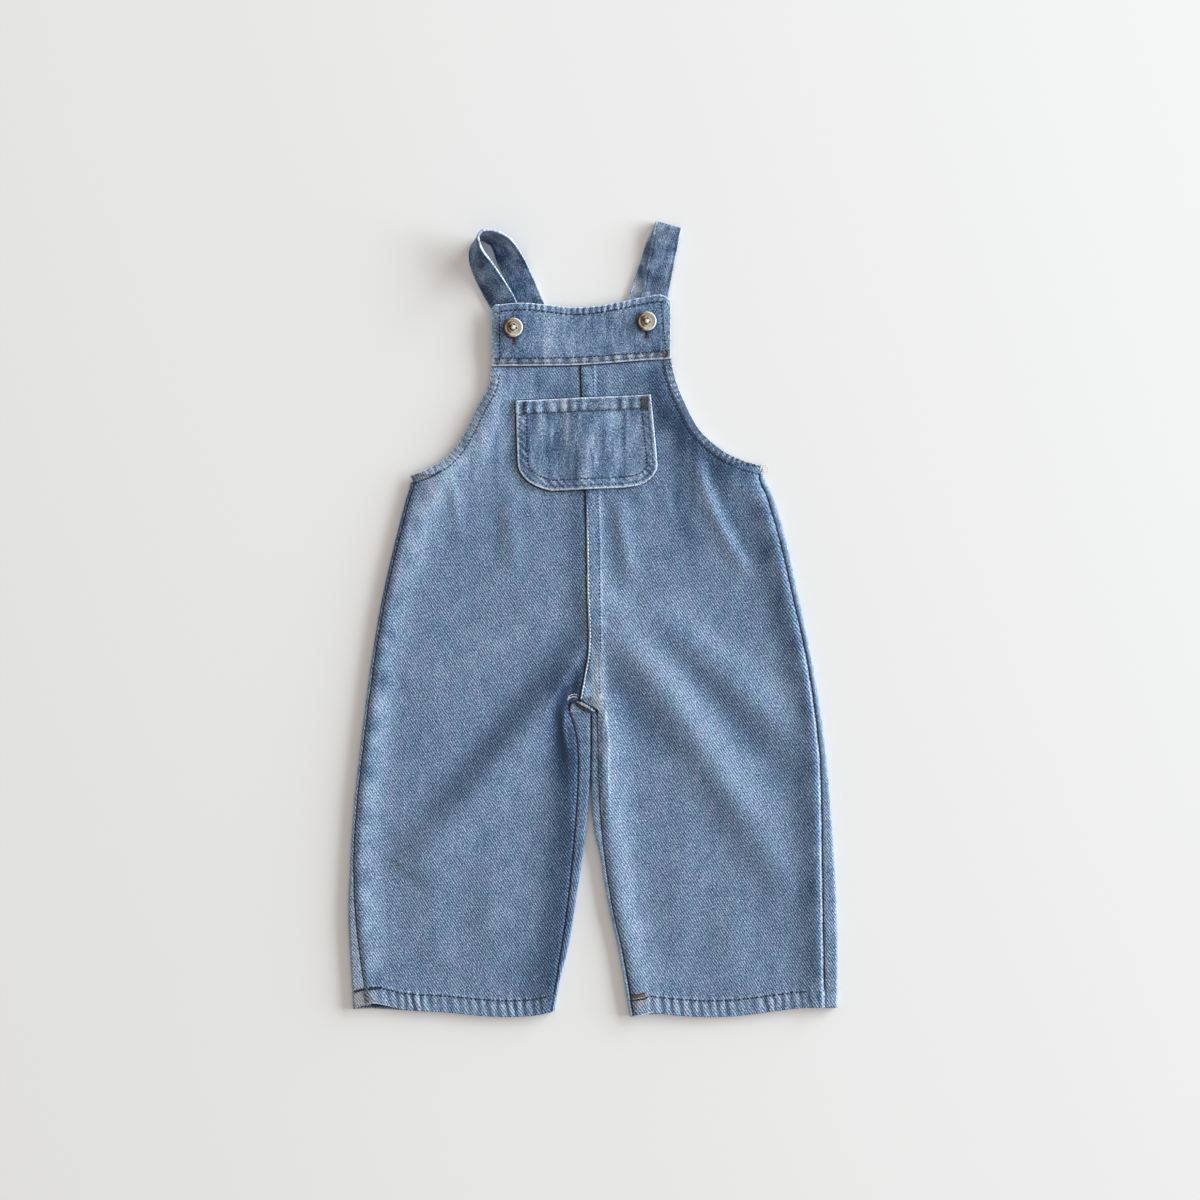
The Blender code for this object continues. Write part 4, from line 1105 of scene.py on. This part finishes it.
def crotchSeam():
    share = np.linspace(0, 1, 26)[:, None]
    x, y, width, level = along(crotch["lump"], "x y width level", share)
    turn = np.arctan2(np.gradient(y, axis=0), np.gradient(x, axis=0))
    u = np.linspace(-0.5, 0.5, 15)
    x, y = x - u * width * np.sin(turn), y + u * width * np.cos(turn)
    z = level - crotch["arch"] * (2 * u) ** 2 + 0.35 * bump(u - 0.08, 0.07) - 0.25 * bump(u + 0.12, 0.08)
    fade = -1.2 + 2.2 * bump(u - 0.1, 0.1) - 1.6 * bump(u + 0.12, 0.1) + 1.4 * patches(x, y, 1.8, 95)
    # Painted shadow round its edges
    found = {
        "points": spots(x, y, z), "weave": spots(x * 1.3 + 800, y * 1.3, 0), "fade": fade,
        "grey": 0.6 + 0 * x, "trim": trimOf(far, width * (0.5 - np.abs(u)) + 0.1, 9),
    }
    return clothPiece("crotch_seam", None, found, crotch["thickness"], 0, "trim")


turned, bulging = crotchTurn(), crotchSeam()

# Bib band

bandLeft, bandRight = band["rows"]["x"][[0, -1]]


def bandShape(x, y):
    fromTop, fromBottom = bandTop(x) - y, y - bandBottom(x)
    fromLeft, fromRight = x - bandLeft, bandRight - x
    ripple, footRipple = rope(x, band["ripplePitch"], 61), rope(x, band["footPitch"], 67)
    middle = softStep((x + 60) / 20) * softStep((48 - x) / 16)
    atTop = within(band["topStitch"] + 0.6 - fromTop, band["step"])
    atFoot = within(band["bottomStitch"] - fromBottom, band["step"])
    level = bandBase(x, y) + layered(x, y, band["uneven"]) + band["footRipple"] * footRipple * atFoot
    level += band["ripple"] * ripple * atTop * (0.25 + 0.75 * middle)
    fade = layered(x, y, band["wash"]) + 0.12
    for bx, by in buttonPlaces.values():
        # Painted shadow round a button, darker to its lower left
        away = np.hypot(x - bx, y - by)
        fade -= (1.3 - 0.07 * (x - bx + y - by)) * bump(np.maximum(away - band["underButton"], 0), 1.3)
    fade += (1.3 * ripple - 0.05) * atTop * (0.5 + 0.5 * middle)
    fade += (1.3 * footRipple + 0.3) * atFoot - 0.5 * ripple * bump(fromTop - band["topStitch"] - 1.5, 1.6)
    # Painted shade and highlight in bands along the band, stronger low down
    fade += np.interp(x, *band["faded"]) * (0.5 + 0.5 * softStep((fromTop - 6) / 8))
    fade += 0.3 * bump(fromLeft, 5) - 0.25 * bump(fromRight - 7, 5)
    # Painted shade low on the band, right of the right buttonhole
    fade -= 0.7 * bump(np.hypot((x - 46) / 3, fromBottom - 8), 3.5)
    for away, strength in ((fromLeft, 0.25), (fromRight, 0.2)):
        fade += strength * bump(np.hypot(away / 1.4, fromTop), 7)
    grey = 0.35 * bump(fromLeft, 5) + 0.4 * bump(np.hypot(fromRight, fromBottom), 9) + 0.45 * atFoot
    worn = np.minimum.reduce([fromTop + 0.35, fromBottom, fromLeft + 0.5, fromRight + 0.4])
    trim = trimOf(
        worn, far, fromTop - band["topStitch"], fromBottom - band["bottomStitch"],
        fromBottom - band["edgeStitch"], fromLeft - band["sideStitch"], fromRight - band["sideStitch"],
    )
    return {"level": level, "fade": fade, "grey": grey, "trim": trim}


u = np.linspace(0, 1, band["columns"])
x = bandLeft + (bandRight - bandLeft) * (u - 0.02 * np.sin(2 * math.pi * u))
y = bandBottom(x) + (bandTop(x) - bandBottom(x)) * np.linspace(1, 0, band["rowCount"])[:, None]
x = x + 0 * y
found = bandShape(x, y)
found |= {"points": spots(x, y, found["level"]), "weave": spots(x, y + 400, 0)}
clothPiece("bib_band_cloth", "bib_band", found, band["thickness"], 0, "trim")

# Pocket

def pocketShape(x, y):
    level = 0 * x
    for half, sign in signs.items():
        under = bodyLevel(half, x, y, seamsNear(half, x, y))
        level = np.where(sign * (x - centreAt(y)) >= 0, under, level)
    beyond = np.abs(x - centreAt(y) - body["fellWidth"] / 2) - body["fellWidth"]
    level += body["fellRaise"] * (1 - softStep(beyond / pocket["fellFade"])) + cloth["denim"] + pocket["lift"]
    away, mouth = -pocketDistance(x, y), y - mouthAt(x)
    inMouth = within(pocket["mouthHem"] + mouth)
    mouthRope = rope(x, pocket["mouthPitch"], 73)
    streaks = patches(x, y * 0.6, 6.5, 71) * 0.7 + np.interp(x, *pocket["streaks"])
    level += 0.2 * streaks * (1 - inMouth) + 0.2 * mouthRope * inMouth
    fade = 0.7 * streaks + layered(x, y, pocket["wash"]) - 0.02
    fade += (1.6 * mouthRope * (0.5 + 0.5 * bump(mouth + pocket["mouthHem"] - 2, 4)) + 0.1) * inMouth
    inEdge = (away < pocket["innerStitch"] + 0.6) & (mouth < -pocket["mouthHem"])
    fade += (0.9 * rope(x + y, 6, 75) + 0.2) * inEdge
    fade -= 0.5 * bump(np.hypot((x + 49) / 4, (y - 148) / 7), 1)
    grey = 0.3 * inMouth * bump(x - 10, 26) + 0.2 * bump(np.hypot(x + 2, y - 130), 22)
    trim = trimOf(
        0.75 * away + 0.1 + 0.3 * inMouth, far, away - pocket["edgeStitch"] - 0.3,
        only(mouth < -8, away - pocket["innerStitch"]), mouth + pocket["mouthHem"],
    )
    return {"level": level, "extra": pocket["mouthRaise"] * inMouth, "fade": fade, "grey": grey, "trim": trim}


leftX, leftY, rightX, rightY = pocketEnds(np.linspace(0, 1, pocket["rowCount"])[:, None])
u = np.linspace(0, 1, pocket["columns"])
x, y = leftX + (rightX - leftX) * u, leftY + (rightY - leftY) * u
found = pocketShape(x, y)
found |= {"points": spots(x, y, found["level"] - pocket["thickness"] / 2), "weave": spots(x + 300, y, 0)}
clothPiece("pocket_cloth", "pocket", found, pocket["thickness"], 1, "trim")
print("band and pocket made")

# Straps

straps = {
    "width": 20, "thickness": 1.8, "columns": 23, "spacing": 1.2, "lift": 0.1, "turn": 1.6,
    "wash": ((0.6, 1, 1, 8.5, 1), (0.55, 1, 1, 4.2, 2), (0.4, 1, 0.4, 3, 3)),
    # The seed and strength of its wash, and how much painted light lifts it past its turn at the top, where
    # it lies in the front strand's shade
    "worn": {"left": (81, 1.1, 0), "right": (91, 1.5, 1.3)}, "turnsAt": 88,
    "left": table(
        "x y over turn tilt",
        (-62.4, 210, 0, 1, 5), (-62.2, 219, 0, 8, 7), (-66.5, 235.9, 0, 21, 8),
        (-73.6, 248.6, 0, 29, 20), (-82.1, 263.3, 0, 28, 39), (-86.3, 272.3, 0, 17, 56),
        (-87, 279, 0, 5, 68), (-85.6, 284.2, 0, 20, 81), (-81.6, 286.3, 0, 80, 79),
        (-77.5, 285.9, 0, 67, 70), (-72.4, 284.3, 0, 45, 62), (-67.5, 280.3, 0, 29, 45),
        (-63.1, 272.8, 0, 25, 25), (-58.3, 263.6, 0, 25, 12), (-52.2, 250, 0, 24, 3),
        (-46.4, 236.3, 0, 23, 0), (-41, 225.4, 0, 19, 0), (-34.5, 212.6, 0, 0, 0),
    ),
    "rightFront": table(
        "x y over turn tilt",
        (41.6, 212.9, 2.1, 0, 0), (43.2, 223, 2.1, -8.6, 0), (46.7, 241.1, 2.1, -10.8, 0),
        (50.6, 261.4, 2.3, -11.5, 0), (54.2, 279.8, 2.9, -13.3, 0),
    ),
    "rightTop": (56.7, 293.6, -16.1),
    "rightBack": table(
        "x y over turn tilt",
        (50.9, 280.9, 0, -19.8, 0), (44.4, 261, 0, -19.8, 0), (37.1, 239.6, 0, -19.1, 0),
        (27.8, 212.6, 0, 0, 0),
    ),
}


def rightStrapTable():
    # The right strap turns over a half circle at its top.
    names = "x y over turn tilt"
    x, y, turn = straps["rightTop"]
    outX, outY = -math.sin(math.radians(turn)), math.cos(math.radians(turn))
    over = []
    for angle in np.radians(np.linspace(90, -90, 7)):
        out, up = straps["turn"] * math.cos(angle), straps["turn"] * (1 + math.sin(angle))
        over.append((x + outX * out, y + outY * out, up, turn, 0))
    front, back = (np.transpose(columns(straps[part], names)) for part in ("rightFront", "rightBack"))
    return table(names, *front, *over, *back)


def strapGrid(rows):
    # Points across the strap at each station, with how far across and along it they are.
    width = straps["width"]
    keys = lengthAlong(spots(*columns(rows, "x y over")))
    at = np.linspace(0, keys[-1], int(keys[-1] / straps["spacing"]))
    x, y, over, turn, tilt = (smoothCurve(keys, values, at)[:, None] for values in rows.values())
    turn, tilt = np.radians(turn), np.radians(tilt)
    middle = np.maximum(over, 0) + straps["thickness"] / 2 * np.cos(tilt)
    middle += (width / 2 + straps["lift"]) * np.abs(np.sin(tilt))
    u = np.linspace(-0.5, 0.5, straps["columns"])
    u = u * width + 0.35 * np.sin(u * 2 * math.pi)
    flat = u * np.cos(tilt)
    points = spots(x + flat * np.cos(turn), y + flat * np.sin(turn), middle + u * np.sin(tilt))
    return points, *np.broadcast_arrays(u, at[:, None])


def strapPiece(half, rows):
    points, u, s = strapGrid(rows)
    seed, strength, paintedLightPastTurn = straps["worn"][half]
    edge = straps["width"] / 2 - np.abs(u)
    fade = layered(u, s, straps["wash"], seed) + 0.2 * rope(s, 9, seed) * bump(edge, 3)
    # Past the turn the strap is painted lighter, as light
    fade = fade * strength - 0.3 * bump(edge - 10, 3) + paintedLightPastTurn * softStep((s - straps["turnsAt"]) / 10)
    found = {
        "points": points, "weave": spots(u + 600, s, 0), "fade": fade,
        "grey": 0.22 + 0.25 * patches(u, s, 12, seed + 4),
        "trim": trimOf(np.abs(edge) + 0.85, far, edge - 2),
    }
    clothPiece(f"strap_{half}_cloth", f"strap_{half}", found, straps["thickness"], 0, "strap")


strapPiece("left", straps["left"])
strapPiece("right", rightStrapTable())
print("straps made")

# Buttons

buttons = {
    "height": 2.8, "rim": 1.5, "dish": 0.9, "hole": 0.78, "holeAt": 2.15, "holeSides": 20, "turn": 75,
    "steps": 64, "seat": 0.4, "sharp": 38, "drill": 9, "threadWidth": 0.8, "threadRise": 0.25,
    "threadGap": 0.42, "threadIn": 0.7,
}


def hornButton(half):
    b, (placeX, placeY) = buttons, buttonPlaces[half]
    r, h, dish = horn["radius"], b["height"], b["dish"]
    inner = r - b["rim"]
    profile = [
        (0, h - dish), (inner - 1.6, h - dish), (inner - 0.9, h - 0.92 * dish),
        (inner - 0.3, h - 0.6 * dish), (inner + 0.1, h - 0.25 * dish), (inner + 0.5, h - 0.03),
        (r - 0.75, h), (r - 0.4, h - 0.12), (r - 0.12, h - 0.45), (r, h - 0.95), (r - 0.12, h - 1.5),
        (r - 0.6, 0.6), (r - 1.1, 0.2), (r - 1.8, 0), (0, 0),
    ]
    mesh = bpy.data.meshes.new(f"button_{half}_horn")
    edges = [(i, i + 1) for i in range(len(profile) - 1)]
    mesh.from_pydata([(x * mm, 0, z * mm) for x, z in profile], edges, [])
    mesh.materials.append(materials["horn"])
    piece = placed(mesh.name, mesh)
    level = float(bandBase(placeX, placeY)) + band["thickness"] / 2 + b["seat"]
    piece.location = (placeX * mm, placeY * mm, level * mm)
    screw = piece.modifiers.new("turned", "SCREW")
    screw.steps = screw.render_steps = b["steps"]
    screw.use_merge_vertices = True
    screw.merge_threshold = 0.00001
    cutters = []
    for k in range(4):
        angle = math.radians(b["turn"] + 90 * k)
        at = (placeX + b["holeAt"] * math.cos(angle), placeY + b["holeAt"] * math.sin(angle), level)
        bpy.ops.mesh.primitive_cylinder_add(
            vertices=b["holeSides"], radius=b["hole"] * mm, depth=b["drill"] * mm,
            location=[value * mm for value in at],
        )
        cutters.append(bpy.context.object)
        cut = piece.modifiers.new(f"hole {k + 1}", "BOOLEAN")
        cut.operation, cut.solver, cut.object = "DIFFERENCE", "EXACT", cutters[-1]
    done = bpy.data.meshes.new_from_object(piece.evaluated_get(bpy.context.evaluated_depsgraph_get()))
    piece.modifiers.clear()
    for cutter in cutters:
        bpy.data.objects.remove(cutter, do_unlink=True)
    piece.data = done
    done.shade_smooth()
    done.set_sharp_from_angle(angle=math.radians(b["sharp"]))
    dress(piece, f"button_{half}")
    return level


seats = {half: hornButton(half) for half in buttonPlaces}
print("buttons made")

# Sewing

def offsetLine(line, distance, side):
    # A line moved sideways, to its left for side 1.
    line = line[:, :2]
    run = np.gradient(line, axis=0)
    run /= np.hypot(*run.T)[:, None]
    return line + side * distance * spots(-run[:, 1], run[:, 0])


def stripTop(x, y):
    return 0 * x + sides["left"]["roll"][-1] + 0.1


def cornerTop(x, y):
    return 0 * x + 3.4


def lumpTop(x, y):
    return read(crotch["lump"], "level", x) + 0.35


def frontSewing(half):
    sign, top = signs[half], topOf(partial(frontSurface, half), cloth["denim"])
    work = Sewing(f"front_{half}_stitches", 100 + sign, top)
    work.run(offsetLine(lines[half]["armhole"], body["armholeHem"], -sign)[3:], "navy", 2.7, 1.8, 0.85)
    x = np.linspace(sideSeam(half, body["hem"]), read(inseams[half], "seam", body["hem"]), 80)
    hem = spots(x, hemAt(half, x) + body["hemStitch"])
    work.run(hem[frontPanel[half]["hemStart"]:-1], "dark", 3.3, 1.9, 1.4)
    if half == "left":
        work.run([(-177.8, -278.4), (-168.4, -276)], "dark", 1.7, 2.2, 1.9, stripTop)
        work.run([(-167, -276.4), (-156.5, -275)], "dark", 2, 2.2, 1.9)
        work.bar((-4.8, -65.4), -28, 12, 3.8, "dark", 7, lumpTop)
        work.bar((-4.4, -64.6), -28, 9, 2.2, "pale", 5, lumpTop)
        for shift in ([0, 0], [0.4, 1.8]):
            work.run(crotch["threads"] - shift, "white", 1.3, 1.5, 0.65)
        return work.make()
    y = np.linspace(body["bibTop"], body["crotch"], 80)
    centre = spots(centreAt(y), y)
    work.run(centre[:34] + [1.3, 0], "steel", 2.7)
    work.run(centre[33:40] + [1.1, 0], "faded", 2.7, 2, 0.8)
    work.run(centre[39:] + [1, 0], "pale", 2.7, 2.1, 1)
    # The outer edge of the felled seam, which turns down beside the inseam
    y = np.linspace(body["bibTop"], body["fellFoot"], 140)
    edge = spots(read(fell, "x", y) - 0.5, y)
    work.run(edge[:84], "steel", 2.7)
    work.run(edge[83:97] - [1.2, 0], "tan", 2.7)
    work.bar((34.8, -281.9), 8, 10, 3.6, "gold", 14)
    work.run([(29.6, -284.9), (40.2, -283.5)], "dark", 1.2, 1.7, 1.1)
    work.run([(29.8, -280.8), (39.8, -279.4)], "dark", 1.7, 1.5, 0.9)
    work.bar((41.5, -283.5), -60, 4, 1.2, "pink", 3)
    loop = np.radians(np.linspace(-150, 170, 14))
    loop = spots(129.5 + 2.1 * np.cos(loop), 112.6 + 2.9 * np.sin(loop))
    work.run(loop, "pink", 1.1, 1.4, 0.6, cornerTop)
    work.bar((126.6, 111), 60, 2.6, 1.6, "brown", 4)
    work.bar((-0.8, -59.5), 75, 3.6, 1.6, "tan", 5)
    return work.make()


def bandSewing():
    work = Sewing("band_stitches", 110, topOf(bandShape, band["thickness"]))
    left, right = bandLeft + band["sideStitch"], bandRight - band["sideStitch"] + 1
    x = np.linspace(left, right, 80)
    work.run(spots(x, bandTop(x) - band["topStitch"]), "navy", 3.4, 2.4, 1.15)
    x = np.linspace(bandLeft + 1.5, bandRight - 1.5, 80)
    work.run(spots(x, bandBottom(x) + band["bottomStitch"]), "navy", 3, 2, 1)
    work.run(spots(x, bandBottom(x) + band["edgeStitch"]), "steel", 2.6)
    work.run([(left, 193), (left, 230)], "navy", 2.6)
    y = np.linspace(197, 236, 20)
    rightLine = spots(right + 2 - 0.1 * (y - 197), y)
    work.run(rightLine, "navy", 2.6)
    work.run(rightLine[6:14] + [0.5, 0], "tan", 2.9, 1.2, 0.7)
    for place, turn in (((55, 196.4), 20), ((56.5, 198.5), 70), ((53.5, 199.2), -40)):
        work.bar(place, turn, 2.4, 1.8, "brown", 4)
    for (x, y), shift, colour in zip(buttonPlaces.values(), (0.9, 0.2), ("rust", "brown")):
        # A buttonhole below the button: two worked sides, the bar at its foot and the slit
        x = x + shift
        for side in (-0.95, 0.95):
            work.run([(x + side, y + 1), (x + side, y - 11.6)], colour, 0.62, 1.35, 0.5)
        work.bar((x, y - 11.6), 0, 2.6, 1.8, colour, 6)
        work.run([(x, y - 6), (x, y - 10.4)], "dark", 0.9, 1.4, 1.3)
    return work.make()


def pocketSewing():
    work = Sewing("pocket_stitches", 120, topOf(pocketShape, pocket["thickness"]))
    path = pocketPath(80)
    work.run(offsetLine(path, pocket["edgeStitch"], 1)[2:-2], "steel", 2.6)
    path = offsetLine(path, pocket["innerStitch"], 1)
    x, y = path.T
    work.run(path[(y < 166) & (x > -50) & (x < 42.5)], "navy", 2.6)
    x = np.linspace(-55, 43, 60)
    work.run(spots(x, mouthAt(x) - pocket["mouthHem"]), "brown", 2.6)
    work.bar((37.9, 162.2), 90, 9, 3, "brass", 10)
    work.bar((41.8, 162.6), 90, 8.4, 2.8, "brown", 9)
    work.bar((-50.2, 157.6), 90, 9.5, 1.8, "navy", 11)
    return work.make()


def buttonThread(half):
    # The thread that holds a button: two strands over each pair of its holes.
    b, (placeX, placeY) = buttons, buttonPlaces[half]
    work = Sewing(f"button_{half}_thread", 130)
    height = seats[half] + b["height"] - b["dish"] + b["threadRise"]
    size = (2 * b["holeAt"] - b["threadIn"], b["threadWidth"])
    for angle in np.radians([b["turn"], b["turn"] + 90]):
        for shift in (-b["threadGap"], b["threadGap"]):
            x, y = placeX - shift * math.sin(angle), placeY + shift * math.cos(angle)
            work.places.append((x, y, height, angle, *size, *thread["white"]))
    work.make()


leftStitches, rightStitches = frontSewing("left"), frontSewing("right")
bandStitches, pocketStitches = bandSewing(), pocketSewing()
print("sewing made")
for half in buttonPlaces:
    buttonThread(half)

# Studio

studio = {
    "height": 1.60, "lens": 64, "sensor": 36, "centre": (0.006, 0.0146),
    "floorTone": (0.825, 0.825, 0.82, 1), "floorSize": 8, "floorLevel": -0.00005,
    "windowSize": (7.8, 2.8), "windowPower": 1190, "windowTone": (0.86, 0.945, 1),
    "windowPlace": Vector((6, 2.2, 1.5)), "sky": (1, 0.925, 0.87, 1), "skyPower": 0.55,
}
bpy.ops.mesh.primitive_plane_add(size=studio["floorSize"], location=(0, 0, studio["floorLevel"]))
floor = bpy.context.object
floor.name = "pale_floor"
floorBench = Bench("pale_floor", 0.9, Specular_IOR_Level=0.2, Base_Color=studio["floorTone"])
floor.data.materials.append(floorBench.material)

window = bpy.data.lights.new("window", "AREA")
window.shape = "RECTANGLE"
window.size, window.size_y = studio["windowSize"]
window.energy, window.color = studio["windowPower"], studio["windowTone"]
light = placed("window", window)
light.location = studio["windowPlace"]
light.rotation_euler = (-studio["windowPlace"]).to_track_quat("-Z", "Y").to_euler()

world = bpy.data.worlds.new("studio")
world.use_nodes = True
sky = world.node_tree.nodes["Background"]
sky.inputs["Color"].default_value, sky.inputs["Strength"].default_value = studio["sky"], studio["skyPower"]
bpy.context.scene.world = world
bpy.context.scene.view_settings.view_transform = "Standard"

cameraData = bpy.data.cameras.new("camera")
cameraData.lens, cameraData.sensor_width = studio["lens"], studio["sensor"]
camera = placed("camera", cameraData)
camera.location = (*studio["centre"], studio["height"])
bpy.context.scene.camera = camera
print("studio set")
